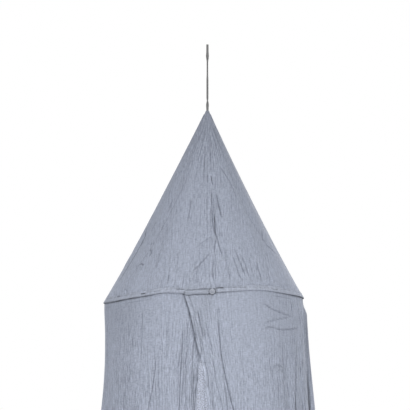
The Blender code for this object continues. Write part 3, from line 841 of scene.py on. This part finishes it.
def floor_paint(name, colour):
    """A plain pale studio floor."""
    shader = Shader(name)
    cloud = shader.noise(shader.place(), (0.8, 0.8, 0.8))
    return shader.finish(shader.surface(colour, 0.99 + 0.02 * cloud, 0.9, 0.1))


# Stitches


def stitch_tree():
    """A node tree that sews stitches along a line: a rounded thread at every pitch."""
    tree = bpy.data.node_groups.new("stitches", "GeometryNodeTree")
    sizes = {"Pitch": "Float", "Length": "Float", "Thickness": "Float"}
    sockets = {}
    for name, kind in {"Line": "Geometry", **sizes, "Seed": "Int", "Thread": "Material"}.items():
        socket = tree.interface.new_socket(name, in_out="INPUT", socket_type="NodeSocket" + kind)
        sockets[name] = socket.identifier
    tree.interface.new_socket("Stitches", in_out="OUTPUT", socket_type="NodeSocketGeometry")
    nodes = tree.nodes
    given = nodes.new("NodeGroupInput").outputs

    def add(kind, links, **settings):
        node = nodes.new(kind)
        for name, value in settings.items():
            setattr(node, name, value)
        for name, value in links.items():
            if isinstance(value, bpy.types.NodeSocket):
                tree.links.new(value, node.inputs[name])
            else:
                node.inputs[name].default_value = value
        return node.outputs

    curve = add("GeometryNodeMeshToCurve", {"Mesh": given["Line"]})["Curve"]
    spaced = add("GeometryNodeResampleCurve", {"Curve": curve, "Length": given["Pitch"]}, mode="LENGTH")
    tangent = add("GeometryNodeInputTangent", {})["Tangent"]
    turn = add("FunctionNodeAlignRotationToVector", {"Vector": tangent}, axis="X")["Rotation"]
    half = [
        add("ShaderNodeMath", {0: given[name], 1: 0.5}, operation="MULTIPLY")[0]
        for name in ("Length", "Thickness")
    ]
    scale = add("ShaderNodeCombineXYZ", {"X": half[0], "Y": half[1], "Z": half[1]})[0]
    ball = add("GeometryNodeMeshUVSphere", {"Segments": 6, "Rings": 4, "Radius": 1.0})["Mesh"]
    stitch = add("GeometryNodeTransform", {"Geometry": ball, "Scale": scale})["Geometry"]
    sizes = {"Min": (0.84, 0.85, 0.85), "Max": (1.08, 1.1, 1.1), "Seed": given["Seed"]}
    uneven = add("FunctionNodeRandomValue", sizes, data_type="FLOAT_VECTOR")["Value"]
    at = {"Points": spaced["Curve"], "Instance": stitch, "Rotation": turn, "Scale": uneven}
    placed = add("GeometryNodeInstanceOnPoints", at)["Instances"]
    real = add("GeometryNodeRealizeInstances", {"Geometry": placed})["Geometry"]
    painted = add("GeometryNodeSetMaterial", {"Geometry": real, "Material": given["Thread"]})["Geometry"]
    tree.links.new(painted, nodes.new("NodeGroupOutput").inputs[0])
    return tree, sockets


def shared_thread(canopy):
    """The thread that all seams share."""
    known = bpy.data.materials.get("thread")
    return known if known else thread("thread", canopy.thread_colour)


def sew(canopy, name, lines, slot, seed):
    """Sews stitches along lines of points, as one piece."""
    edges = []
    first = 0
    for line in lines:
        edges += [(first + i, first + i + 1) for i in range(len(line) - 1)]
        first += len(line)
    mesh = bpy.data.meshes.new(name)
    mesh.from_pydata(np.concatenate(lines).tolist(), edges, [])
    obj = put_in_scene(name, mesh)
    tree, sockets = stitch_tree()
    sewing = obj.modifiers.new("stitches", "NODES")
    sewing.node_group = tree
    sizes = {"Pitch": canopy.pitch, "Length": canopy.length, "Thickness": canopy.thickness}
    for title, value in {**sizes, "Seed": seed, "Thread": shared_thread(canopy)}.items():
        sewing[sockets[title]] = value
    applied(obj)
    obj.data.shade_smooth()
    settle(obj, slot)


def settle(obj, slot, *nodes):
    """Hangs a finished piece on the canopy and hides the imported parts that it stands for."""
    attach(obj, "root")
    if nodes:
        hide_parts(*nodes)


# Pieces


def tape_offset(drop):
    """Half the distance between the two runs of the tape."""
    closing = smooth((drop - EYE_OPEN) / (EYE_CLOSED_BY - EYE_OPEN))
    return EYE_OPEN + (TAPE_HALF_APART - EYE_OPEN) * closing


def build_tape(canopy):
    """The hanging tape: up one run, round the eye, and down the other, half twisted."""
    drops = np.linspace(EYE_RADIUS, LOOP_DROP + TAPE_INSIDE, TAPE_ROWS)
    arch = np.radians(np.linspace(0.0, 180.0, EYE_ROWS)[1:-1])
    height = np.concatenate([-drops[::-1], -EYE_RADIUS + EYE_OPEN * np.sin(arch), -drops])
    apart = np.concatenate([-tape_offset(drops[::-1]), -EYE_OPEN * np.cos(arch), tape_offset(drops)])
    turn = sum(degrees * smooth((-height - start) / (end - start)) for start, end, degrees in TURNS)
    across = np.array([0.5, 0.44, 0.3, 0.0, -0.3, -0.44, -0.5]) * TAPE_WIDTH
    across = across * (1.0 + 0.04 * noise(height / 0.006, height * 0.0, 3))[:, None]
    turn, apart, height = (value[:, None] + 0.0 * across for value in (np.radians(turn), apart, height))
    right = across * np.cos(turn) - apart * np.sin(turn)
    behind = across * np.sin(turn) + apart * np.cos(turn)
    points = np.stack([right, behind, height], axis=-1)
    steps = np.linalg.norm(np.diff(points[:, 3], axis=0), axis=-1)
    length = np.concatenate([[0.0], np.cumsum(steps)])
    flat = np.stack(np.broadcast_arrays(across, length[:, None]), axis=-1)
    material = woven_tape("tape_weave", canopy.tape_colour)
    tape = cloth_piece("tape", points, flat, np.zeros(across.shape), material, wall=TAPE_THICK)
    settle(tape, "tape_weave", "hanging_tape")


def build_roof_cut(canopy, name, node, start, end, columns, rows, seed, material):
    """One cut of the cone, between two side seams, with its creases and crinkle."""
    front = start < 0.0
    angle, share = np.meshgrid(np.linspace(start, end, columns), np.linspace(0.0, ROOF_END, rows))
    flat = roof_flat(turned(angle) if front else angle - 180.0, share)
    depth, dark = crease_field(flat, ROOF_CREASES + SEAM_LINES if front else (), roof_flat)
    crinkle = LEAST_CRINKLE + spread(angle, share, ROOF_CRINKLE)
    lines, wave = crinkle_field(flat[..., 0], flat[..., 1], seed)
    lower = smooth((share - 0.16) / 0.3)
    fine = crinkle * (lower * lines + cone_rays(angle, share, seed + 50))
    gather = noise(arc(angle) / 0.0105, share * SLANT / 0.05, seed + 9)
    out = lower * (canopy.wave_depth * MM * wave - canopy.fine_depth * MM * fine)
    out += 0.7 * MM * gather * smooth((share - 0.8) / 0.18) - depth
    from_seam = np.minimum(np.abs(angle - start), np.abs(angle - end))
    out = out * smooth(from_seam * HOOP_RADIUS * share * math.radians(1.0) / 0.004)
    out -= 1.3 * MM * smooth((share - 0.975) / 0.02)
    # The crinkle's lines are darker for the crushed, denser cloth and with painted shade, with painted
    # highlight on their ridges
    dark = 1.0 - (1.0 - dark) * (1.0 - canopy.line_shade * fine)
    # Darker towards the side seams: partly the doubled cloth of the seam, partly painted shade at the
    # cone's sides
    dark += 0.06 * smooth((15.0 - from_seam) / 4.0) + 0.2 * smooth((6.0 - from_seam) / 3.0)
    dark += spread(angle, share, ROOF_PAINTED_SHADE)
    points = roof_surface(angle, share, out)
    points[..., 1] += (-1.0 if front else 1.0) * GAP / 4
    cut = cloth_piece(name, points, flat, dark, material, crinkle=crinkle)
    settle(cut, "roof_cloth", node)


def build_side_seams(canopy, material):
    """The felled seams down both sides of the cone, each with two rows of stitches."""
    lines = []
    offsets = np.array([-4.2, -3.6, -1.8, 0.0, 1.8, 3.6, 4.2]) * MM
    across, share = np.meshgrid(offsets, np.linspace(0.02, 1.0, SIDE_SEAM_ROWS))
    radius = np.maximum(HOOP_RADIUS * share, 3 * APEX_RADIUS)
    out = 0.7 * MM + 0.15 * MM * noise(share * 60.0, across / 0.003, 31)
    out -= 0.5 * MM * (np.abs(across) > 4.0 * MM)
    flat = np.stack([across, share * SLANT], axis=-1)
    dark = 0.1 * (np.abs(np.abs(across) - 2.9 * MM) < 0.8 * MM)
    for side, name in ((-90.0, "side_seam_left"), (90.0, "side_seam_right")):
        points = roof_surface(side + np.degrees(across / radius), share, out)
        seam = cloth_piece(name, points, flat, dark, material, wall=0.5 * MM)
        settle(seam, "roof_cloth")
        for at in (-2.7 * MM, 2.7 * MM):
            angle = side + np.degrees(at / radius[:, 0])
            lines.append(roof_surface(angle, share[:, 0], np.full(SIDE_SEAM_ROWS, 1.15 * MM)))
    sew(canopy, "side_seam_stitches", lines, "roof_cloth", 11)


def seam_shadow(angle):
    """How dark the painted shadow in the seam under the band is: most under the tab and towards both sides.
    """
    return np.interp(turned(angle), *np.array(SEAM_SHADOW).T)


def round_hoop(angles, profile):
    """Grids of angles and of places outwards and upwards, for a profile that runs round the hoop."""
    angle, out = np.meshgrid(angles, profile[:, 0])
    return angle, out, np.meshgrid(angles, profile[:, 1])[1]


def build_band(canopy, material):
    """The band of cloth round the hoop, puckered along its stitch lines, with painted shade along its upper
    stitch line and its seam.
    """
    profile = curve_through(BAND_PROFILE, 10)
    profile = np.concatenate([profile[:BAND_FRONT], profile[BAND_FRONT::4]])
    angle, out, up = round_hoop(np.linspace(-180.0, 180.0, BAND_COLUMNS + 1)[:-1], profile)
    run = arc(angle)
    front = smooth((BAND_FRONT - 1 - np.arange(len(profile)))[:, None] / 3.0)
    pucker = noise(run / 0.0062, up / 0.012, 41) + 0.5 * noise(run / 0.0028, up / 0.006, 42)
    flat = hoop_flat(angle, up)
    depth, dark = crease_field(flat, BAND_CREASES, lambda a, b: hoop_flat(a, b * MM))
    at, height, shade = np.array(STITCH_LINE).T
    height = np.interp(angle, at, height) * MM
    stitch_trough = bump_at(up, height, 1.0 * MM)
    pinch = smooth(0.5 + 0.9 * noise(run / 0.0042, up / 0.05, 43))
    out = out + front * (0.32 * MM * pucker - 0.45 * MM * stitch_trough * pinch - depth)
    # Painted shade along the puckered stitch line, and a painted highlight just below it
    line = 2.0 * np.interp(angle, at, shade) * stitch_trough * pinch
    line -= 0.1 * bump_at(up, height - 2.6 * MM, 1.2 * MM) * pinch
    # Painted shadow along the band's lower edge, at the seam
    seam = 0.55 * bump_at(up, -1.1 * MM, 1.1 * MM) * seam_shadow(angle)
    dark = np.clip(front * (dark + line) + seam, -0.2, 0.9)
    points = at_hoop(angle, out, up)
    crinkle = np.full(angle.shape, LEAST_CRINKLE)
    band = cloth_piece("band", points, flat, dark, material, closed=True, wall=0.8 * MM, crinkle=crinkle)
    settle(band, "band_cloth", "hoop_band")
    ring = np.linspace(-180.0, 180.0, 721)
    lines = [at_hoop(ring, -0.0012 - 0.515 * (up - 0.001) + 0.55 * MM, up) for up in (0.0094, 0.0016)]
    sew(canopy, "band_stitches", lines, "band_cloth", 12)


def build_tab(canopy, material):
    """The tab over the front opening."""
    angle, out, up = round_hoop(np.linspace(TAB_FROM, TAB_TO, TAB_COLUMNS), curve_through(TAB_PROFILE, 8))
    ends = arc(np.minimum(angle - TAB_FROM, TAB_TO - angle))
    middle = 0.5 * (TAB_PROFILE[0][1] + TAB_PROFILE[-1][1])
    up = middle + (up - middle) * (1.0 - 0.18 * (1.0 - smooth(ends / 0.004)))
    from_edge = np.minimum(np.minimum(up - up.min(), up.max() - up), ends)
    up -= 2.0 * MM * smooth((-5.0 - angle) / 3.0) * smooth((up.max() - up) / (up.max() - up.min()))
    up -= 1.8 * MM * smooth((-3.0 - angle) / 5.0) * smooth((up - middle) / (6.0 * MM))
    run = arc(angle)
    trough = bump_at(from_edge, 2.0 * MM, 0.7 * MM)
    out = out + 0.25 * MM * noise(run / 0.006, up / 0.006, 51) - 0.35 * MM * trough
    # Painted shade: the tab darker all over, in its trough and at its edges, with a painted dark line low
    # across its middle, a painted highlight just above it, and a painted shadow round the button
    dark = 0.1 + 0.28 * trough + 0.6 * bump_at(from_edge, 0.0, 1.0 * MM)
    dark += 0.16 * bump_at(up, 0.6 * MM, 1.0 * MM) - 0.1 * bump_at(up, 3.2 * MM, 1.4 * MM)
    ring = np.hypot(run - arc(BUTTON_ANGLE), up - BUTTON_UP)
    dark += 0.35 * bump_at(ring, BUTTON_RADIUS + 0.6 * MM, 1.3 * MM)
    tab = cloth_piece("tab", at_hoop(angle, out, up), hoop_flat(angle, up), dark, material, wall=0.9 * MM)
    settle(tab, "band_cloth", "closure_tab")
    across = np.linspace(TAB_FROM + 0.5, TAB_TO - 0.5, 40)
    places = ((-0.0027, 0.0086), (0.0013, -0.0022))
    lines = [at_hoop(across, *place) + 0.4 * MM * outwards(across) for place in places]
    sew(canopy, "tab_stitches", lines, "band_cloth", 13)


def button_frame():
    """The button's place on the tab: its axis along +Z, away from the cloth."""
    upper = Vector(at_hoop(BUTTON_ANGLE, *TAB_PROFILE[0]))
    lower = Vector(at_hoop(BUTTON_ANGLE, *TAB_PROFILE[-1]))
    down = (lower - upper).normalized()
    away = Vector(outwards(BUTTON_ANGLE))
    facing = Vector((0.0, 0.0, 1.0)).cross(away).cross(down).normalized()
    if facing.dot(away) < 0.0:
        facing = -facing
    ridge = Vector(at_hoop(BUTTON_ANGLE, *TAB_PROFILE[1]))
    seat = ridge + down * (TAB_PROFILE[1][1] - BUTTON_UP) + facing * (CLOTH / 2 + GAP)
    return Matrix.Translation(seat) @ facing.to_track_quat("Z", "Y").to_matrix().to_4x4()


# Half section of the button: share of its radius, share of its depth
BUTTON_SECTION = (
    (0, 0), (0.7, 0), (0.93, 0.14), (1, 0.42), (0.98, 0.72), (0.9, 0.94), (0.8, 1), (0.7, 0.94),
    (0.6, 0.74), (0.52, 0.62), (0.3, 0.56), (0, 0.54),
)
# The button's holes, and the thread through them: share of the depth, radius and stretch of a ball
HOLE_APART = 0.0014
HOLE_RADIUS = 0.0006
THREAD_AT = 0.66
THREAD_RADIUS = 0.00045
THREAD_STRETCH = 4.2


def build_button(canopy):
    """The dished button with its four holes and the thread that crosses them."""
    bm = bmesh.new()
    ring = [bm.verts.new((r * BUTTON_RADIUS, 0.0, h * BUTTON_DEPTH)) for r, h in BUTTON_SECTION]
    edges = [bm.edges.new(pair) for pair in zip(ring, ring[1:])]
    bmesh.ops.spin(bm, geom=ring + edges, cent=(0, 0, 0), axis=(0, 0, 1), angle=math.tau, steps=48)
    bmesh.ops.remove_doubles(bm, verts=bm.verts, dist=0.00001)
    bmesh.ops.recalc_face_normals(bm, faces=bm.faces)
    plastic = moulded("button_plastic", canopy.button_colour, 0.4)
    disc = add_piece("button_disc", mesh_from(bm, "button_disc"), plastic)
    holes = bmesh.new()
    size = {"segments": 14, "radius1": HOLE_RADIUS, "radius2": HOLE_RADIUS, "depth": 3 * BUTTON_DEPTH}
    sides = (-HOLE_APART, HOLE_APART)
    for place in [(x, y, BUTTON_DEPTH / 2) for x in sides for y in sides]:
        bmesh.ops.create_cone(holes, cap_ends=True, matrix=Matrix.Translation(place), **size)
    cutter = put_in_scene("button_holes", mesh_from(holes, "button_holes"))
    cut = disc.modifiers.new("holes", "BOOLEAN")
    cut.operation = "DIFFERENCE"
    cut.object = cutter
    applied(disc)
    bpy.data.objects.remove(cutter, do_unlink=True)
    places = np.empty(3 * len(disc.data.vertices))
    disc.data.vertices.foreach_get("co", places)
    away = np.hypot(*places.reshape(-1, 3)[:, :2].T) / BUTTON_RADIUS
    # Painted shade in the button's dish and round its rim
    dark = 0.35 * bump_at(away, 0.0, 0.4) + 0.5 * smooth((away - 0.84) / 0.14)
    disc.data.attributes.new("density_and_painted_shade", "FLOAT", "POINT").data.foreach_set("value", dark)
    disc.data.transform(button_frame())
    disc.data.set_sharp_from_angle(angle=math.radians(50))
    settle(disc, "button_plastic", "button")
    bars = bmesh.new()
    for x in sides:
        start, end = (button_frame() @ Vector((x, y, BUTTON_DEPTH * THREAD_AT)) for y in sides)
        along = (end - start).to_track_quat("Z", "Y").to_matrix().to_4x4()
        stretch = Matrix.Diagonal((1.0, 1.0, THREAD_STRETCH, 1.0))
        where = Matrix.Translation((start + end) / 2) @ along @ stretch
        bmesh.ops.create_icosphere(bars, subdivisions=2, radius=THREAD_RADIUS, matrix=where)
    mesh = mesh_from(bars, "button_thread")
    settle(add_piece("button_thread", mesh, shared_thread(canopy)), "band_cloth")


def open_weave(drop):
    """How much of the back's open weave, with the light through its holes painted in, shows: all of it at
    the top, none far down.
    """
    return smooth((WEAVE_TO - drop) / WEAVE_FADE)


def curtain_drops():
    """Drops of the curtain's rows: close at the top, wider below, close at the hem."""
    hem_from = CURTAIN_DROP - HEM_SPAN
    upper = np.linspace(0.0, UPPER_DROP, UPPER_ROWS)[:-1]
    middle = np.linspace(UPPER_DROP, hem_from, MIDDLE_ROWS)[:-1]
    return np.concatenate([upper, middle, np.linspace(hem_from, CURTAIN_DROP, HEM_ROWS)])


def curtain_grid(right):
    """Angles and drops of a curtain half's points, from its front edge to the back seam."""
    drops = curtain_drops()[:, None]
    way = 1.0 if right else -1.0
    front = edge_angle(drops, RIGHT if right else LEFT)
    span = 180.0 - BACK_SEAM - way * front
    close = np.linspace(0.0, CLOSE_SPAN, CLOSE_COLUMNS)[:-1]
    wide = np.linspace(CLOSE_SPAN, FRONT_SPAN, FRONT_COLUMNS)[:-1]
    near = np.concatenate([close, wide]) + 0.0 * drops
    far = FRONT_SPAN + (span - FRONT_SPAN) * np.linspace(0.0, 1.0, BACK_COLUMNS)
    beyond = np.concatenate([near, far], axis=1)
    return front + way * beyond, drops + 0.0 * beyond, beyond


def build_curtain(canopy, name, node, right, seed, material):
    """One half of the curtain, with its folds, creases, crinkle, gathers and hems."""
    angle, drop, beyond = curtain_grid(right)
    flat = hoop_flat(angle, drop)
    depth, dark = crease_field(flat, CURTAIN_CREASES, lambda a, b: hoop_flat(a, b * MM))
    own = smooth(beyond / 0.4) * (right | (angle < edge_angle(drop[:, :1], RIGHT) - 0.6))
    depth, dark = depth * own, dark * own
    follow = smooth((EDGE_REACH - beyond) / EDGE_REACH)
    follow = follow * smooth((0.5 - drop) / 0.3) * (angle[:, :1] - angle[0, 0])
    grain = flat - np.stack([arc(follow), 0.0 * follow], axis=-1)
    crinkle = LEAST_CRINKLE + CURTAIN_MORE + spread(angle, drop / MM, CURTAIN_CRINKLE)
    lines, wave = crinkle_field(grain[..., 0], drop, seed)
    fine = crinkle * lines
    gather = noise(grain[..., 0] / 0.0075, drop / 0.045, seed + 9)
    sway = noise(flat[..., 0] / 0.055, drop / 0.3, seed + 8) * smooth(drop / 0.1)
    out = MM * (canopy.wave_depth * wave - canopy.fine_depth * fine + sway) - depth
    out += 0.3 * MM * gather * np.exp(-drop / 0.035)
    out *= 0.25 + 0.75 * smooth(drop / 0.012)
    out *= smooth(arc(180.0 - BACK_SEAM - np.abs(angle)) / 0.008)
    from_edge = arc(beyond)
    from_hem = CURTAIN_DROP - drop
    # Each hem stands proud, with a dent and painted shade along its stitch line
    for distance, hem in ((from_edge, EDGE_HEM), (from_hem, LOW_HEM)):
        out += 0.45 * MM * smooth((hem - distance) / 0.0015)
        out -= 0.45 * MM * bump_at(distance, hem, 1.4 * MM)
        dark = np.maximum(dark, 0.16 * bump_at(distance, hem, 1.6 * MM))
    # The crinkle's lines are darker for the crushed, denser cloth and with painted shade, with painted
    # highlight on their ridges
    dark = 1.0 - (1.0 - dark) * (1.0 - canopy.line_shade * fine)
    # Painted shadow on the curtain just under the band, and a faint painted highlight below it
    under_band = 0.74 * bump_at(drop, 0.0, 2.1 * MM) - 0.1 * bump_at(drop, 5.0 * MM, 1.6 * MM)
    dark = np.clip(1.0 - (1.0 - dark) * (1.0 - seam_shadow(angle) * under_band), -0.3, 0.9)
    # Painted shade and light at the lap, and the broad painted shade of the table above
    dark += lap_painted_light(angle, drop, right) + spread(angle, drop / MM, CURTAIN_PAINTED_SHADE)
    weave = smooth((np.abs(angle) - WEAVE_FROM) / 5.0) * open_weave(drop)
    lap = 0.0 if right else LAP_IN * smooth((angle - LAP_FROM) / LAP_OVER)
    out = out - CURTAIN_IN - lap
    points = curtain_surface(angle, drop, out)
    way = 1 if right else -1
    points[..., 0] += way * GAP / 2
    values = [value[:, ::way] for value in (points, grain, dark, crinkle, weave)]
    half = cloth_piece(name, *values[:3], material, crinkle=values[3], weave=values[4])
    settle(half, "curtain_cloth", node)
    beside_edge = (slice(None), np.argmin(np.abs(from_edge[0] - EDGE_HEM)))
    above_hem = (np.argmin(np.abs(from_hem[:, 0] - LOW_HEM)), slice(None))
    lines = [
        curtain_surface(angle[line], drop[line], out[line] + 0.25 * MM)
        for line in (beside_edge, above_hem)
    ]
    sew(canopy, name + "_stitches", lines, "curtain_cloth", seed)


def build_back_seam(canopy, material):
    """The felled seam down the middle of the curtain's back, with its two rows of stitches."""
    offsets = np.array([-5.2, -4.6, -2.3, 0.0, 2.3, 4.6, 5.2]) * MM
    across, drop = np.meshgrid(offsets, np.linspace(0.001, CURTAIN_DROP, BACK_SEAM_ROWS))
    out = 0.5 * MM - 0.4 * MM * (np.abs(across) > 5.0 * MM) - CURTAIN_IN
    out = out + 0.12 * MM * noise(drop / 0.012, across / 0.003, 32)
    points = curtain_surface(180.0 + np.degrees(across / HOOP_RADIUS), drop, out)
    flat = np.stack([across, drop], axis=-1)
    dark = 0.1 * (np.abs(np.abs(across) - 3.4 * MM) < 1.3 * MM)
    crinkle = np.full(drop.shape, LEAST_CRINKLE + CURTAIN_MORE)
    weave = open_weave(drop)
    seam = cloth_piece("back_seam", points, flat, dark, material, crinkle=crinkle, weave=weave)
    settle(seam, "curtain_cloth")
    lines = []
    for at in (-3.2 * MM, 3.2 * MM):
        angle = 180.0 + np.degrees(at / HOOP_RADIUS) + 0.0 * drop[:, 0]
        lines.append(curtain_surface(angle, drop[:, 0], 0.7 * MM - CURTAIN_IN + 0.0 * angle))
    sew(canopy, "back_seam_stitches", lines, "curtain_cloth", 14)


def lap_painted_light(angle, drop, right):
    """Painted shadow beside the right half's front edge and along both edges, painted shade on the right
    hem's stitch line and painted highlight on its hem, and painted light on the doubled cloth, which lights
    up less.
    """
    left_edge, right_edge = (edge_angle(drop[:, :1], column) for column in (LEFT, RIGHT))
    beside_edge = arc(angle - right_edge)
    if right:
        doubled = smooth((left_edge - angle) / 2.0) * (right_edge < left_edge)
        hem = bump_at(beside_edge, 4.2 * MM, 2.6 * MM)
        behind_hem = bump_at(beside_edge, 10.5 * MM, 1.8 * MM) * (1.0 - 0.8 * smooth((drop - 0.11) / 0.05))
        edge = bump_at(beside_edge, 0.0, 1.3 * MM) * (1.0 - 0.85 * smooth((drop - 0.12) / 0.05))
        return 0.45 * edge - 0.07 * doubled - 0.1 * hem + 0.18 * behind_hem
    fading = smooth((left_edge - right_edge + 3.0) / 6.0)
    shade = 0.6 * fading * bump_at(beside_edge, -1.6 * MM, 3.8 * MM)
    return np.maximum(shade, 0.12 * bump_at(arc(left_edge - angle), 0.0, 1.2 * MM))


# Settings that a user would change


def colour_setting(name, part, default):
    """A colour that a user would change."""
    about = "Colour of the " + part
    return bpy.props.FloatVectorProperty(name=name, description=about, subtype="COLOR", default=default)


def number_setting(name, about, default, most=10.0, subtype="NONE"):
    """A number, from 0 to the most, that a user would change."""
    limits = {"min": 0.0, "max": most}
    return bpy.props.FloatProperty(name=name, description=about, default=default, subtype=subtype, **limits)


class CanopySettings(bpy.types.PropertyGroup):
    """Colours, crinkle and stitches of the canopy, and the light on it"""

    cloth_colour: colour_setting("Cloth", "cotton", (0.324, 0.35, 0.412))
    through_colour: colour_setting("Light through", "light through the cotton", (0.56, 0.595, 0.69))
    through: number_setting("Sheerness", "Share of the light that goes through", 0.3, 1.0)
    tip_shade: number_setting("Point shade", "Brightness at the cone's point", 0.7, 1.0)
    # Painted light: the band's colour made lighter for the light that its doubled cloth keeps from coming
    # through
    band_painted_light: number_setting("Band shade", "Brightness of the band's doubled cloth", 1.12)
    fine_depth: number_setting("Fine crinkle", "Depth of the fine crinkle in millimetres", 0.45)
    wave_depth: number_setting("Soft crinkle", "Depth of the soft crinkle in millimetres", 0.48)
    # How dark the crinkle's lines are: the denser crushed cloth, with painted shade
    line_shade: number_setting("Crinkle shade", "How dark the fine crinkle is", 0.34, 1.0)
    tape_colour: colour_setting("Tape", "tape", (0.13, 0.13, 0.13))
    thread_colour: colour_setting("Thread", "thread", (0.34, 0.37, 0.45))
    button_colour: colour_setting("Button", "button", (0.235, 0.253, 0.297))
    hoop_colour: colour_setting("Hoop", "hoop", (0.75, 0.75, 0.73))
    pitch: number_setting("Pitch", "Distance between stitches", 0.0036, subtype="DISTANCE")
    length: number_setting("Stitch", "Length of a stitch", 0.0027, subtype="DISTANCE")
    thickness: number_setting("Thread width", "Thickness of the thread", 0.0005, subtype="DISTANCE")
    key_light: number_setting("Key", "Strength of the light from the front", 2.4)
    room_light: number_setting("Room", "Strength of the even light of the white room", 0.7)
    back_light: number_setting("Back", "Strength of the light from behind", 5.6)


class CANOPY_OT_tape(bpy.types.Operator):
    """Builds the hanging tape"""

    bl_idname = "canopy.tape"
    bl_label = "Tape"

    def execute(self, context):
        build_tape(context.scene.canopy)
        return {"FINISHED"}


class CANOPY_OT_roof(bpy.types.Operator):
    """Builds the cone's two cuts and their side seams"""

    bl_idname = "canopy.roof"
    bl_label = "Cone"

    def execute(self, context):
        canopy = context.scene.canopy
        material = cotton("roof_cloth", canopy.cloth_colour, canopy, canopy.tip_shade)
        build_roof_cut(canopy, "front_roof", "roof_front", -90.0, 90.0, *FRONT_CUT, 100, material)
        build_roof_cut(canopy, "back_roof", "roof_back", 90.0, 270.0, *BACK_CUT, 200, material)
        build_side_seams(canopy, material)
        return {"FINISHED"}


class CANOPY_OT_band(bpy.types.Operator):
    """Builds the band round the hoop, its tab and button, and finishes the hoop"""

    bl_idname = "canopy.band"
    bl_label = "Band"

    def execute(self, context):
        canopy = context.scene.canopy
        # The band's colour is made lighter, as painted light for the light its doubled cloth keeps back
        colour = [canopy.band_painted_light * value for value in canopy.cloth_colour]
        material = cotton("band_cloth", colour, canopy)
        build_band(canopy, material)
        build_tab(canopy, material)
        build_button(canopy)
        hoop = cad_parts["hoop"]
        hoop.data.materials.clear()
        hoop.data.materials.append(moulded("hoop_plastic", canopy.hoop_colour, 0.45))
        return {"FINISHED"}


class CANOPY_OT_curtain(bpy.types.Operator):
    """Builds the two halves of the curtain and the seam at their back"""

    bl_idname = "canopy.curtain"
    bl_label = "Curtain"

    def execute(self, context):
        canopy = context.scene.canopy
        material = cotton("curtain_cloth", canopy.cloth_colour, canopy)
        build_curtain(canopy, "left_curtain", "curtain_left", False, 300, material)
        build_curtain(canopy, "right_curtain", "curtain_right", True, 400, material)
        build_back_seam(canopy, material)
        return {"FINISHED"}


# The camera stands low in front and looks up at the cone, over a floor, between two soft lights
CAMERA_PLACE = (-0.00625, -3.2, -0.8954)
CAMERA_PITCH = 8.507
CAMERA_WIDTHS_AWAY = 1280 / 410
SENSOR = 36.0
FLOOR_BELOW = 0.05
FLOOR_HALF = 30.0
FLOOR_COLOUR = (0.6, 0.6, 0.6)
KEY_TOWARD = (0.05, -1.0, 0.23)
BACK_TOWARD = (0.1, 1.0, 0.35)


def add_sun(name, toward, strength, softness):
    """A soft distant light that shines from a direction."""
    light = bpy.data.lights.new(name, "SUN")
    light.energy = strength
    light.angle = math.radians(softness)
    put_in_scene(name, light).rotation_euler = Vector(toward).to_track_quat("Z", "Y").to_euler()


class CANOPY_OT_stage(bpy.types.Operator):
    """Builds the pale floor, the soft light and the camera"""

    bl_idname = "canopy.stage"
    bl_label = "Stage"

    def execute(self, context):
        scene = context.scene
        low = CAD_BOX[0][2] - FLOOR_BELOW
        corners = [(x * FLOOR_HALF, y * FLOOR_HALF, low) for x, y in ((-1, -1), (1, -1), (1, 1), (-1, 1))]
        mesh = bpy.data.meshes.new("floor")
        mesh.from_pydata(corners, [], [(0, 1, 2, 3)])
        add_piece("floor", mesh, floor_paint("floor_paint", FLOOR_COLOUR))
        scene.world = bpy.data.worlds.new("studio")
        scene.world.use_nodes = True
        tree = scene.world.node_tree
        background = tree.nodes["Background"].inputs
        background["Color"].default_value = (1.0, 1.0, 1.0, 1.0)
        seen = tree.nodes.new("ShaderNodeMapRange")
        seen.inputs["To Min"].default_value = scene.canopy.room_light
        tree.links.new(tree.nodes.new("ShaderNodeLightPath").outputs["Is Camera Ray"], seen.inputs[0])
        tree.links.new(seen.outputs[0], background["Strength"])
        scene.view_settings.view_transform = "Standard"
        add_sun("key", KEY_TOWARD, scene.canopy.key_light, 25.0)
        add_sun("back", BACK_TOWARD, scene.canopy.back_light, 60.0)
        scene.camera = put_in_scene("camera", bpy.data.cameras.new("camera"))
        scene.camera.data.sensor_width = SENSOR
        scene.camera.data.lens = SENSOR * CAMERA_WIDTHS_AWAY
        scene.camera.location = CAMERA_PLACE
        scene.camera.rotation_euler = (math.radians(90.0 + CAMERA_PITCH), 0.0, 0.0)
        return {"FINISHED"}


OPERATORS = (CANOPY_OT_tape, CANOPY_OT_roof, CANOPY_OT_band, CANOPY_OT_curtain, CANOPY_OT_stage)


class CANOPY_PT_panel(bpy.types.Panel):
    """Lists the canopy's pieces and settings"""

    bl_label = "Bed Canopy"
    bl_idname = "CANOPY_PT_panel"
    bl_space_type = "VIEW_3D"
    bl_region_type = "UI"
    bl_category = "Canopy"

    def draw(self, context):
        for operator in OPERATORS:
            self.layout.operator(operator.bl_idname)
        for name in CanopySettings.__annotations__:
            self.layout.prop(context.scene.canopy, name)


CLASSES = (CanopySettings, *OPERATORS, CANOPY_PT_panel)


def register():
    """Registers the classes and the scene's settings."""
    for cls in CLASSES:
        bpy.utils.register_class(cls)
    bpy.types.Scene.canopy = bpy.props.PointerProperty(type=CanopySettings)


def unregister():
    """Takes the settings and the classes away again."""
    del bpy.types.Scene.canopy
    for cls in reversed(CLASSES):
        bpy.utils.unregister_class(cls)


def main():
    """Builds every piece and the stage."""
    register()
    bpy.ops.canopy.tape()
    bpy.ops.canopy.roof()
    bpy.ops.canopy.band()
    bpy.ops.canopy.curtain()
    bpy.ops.canopy.stage()


if __name__ == "__main__":
    main()
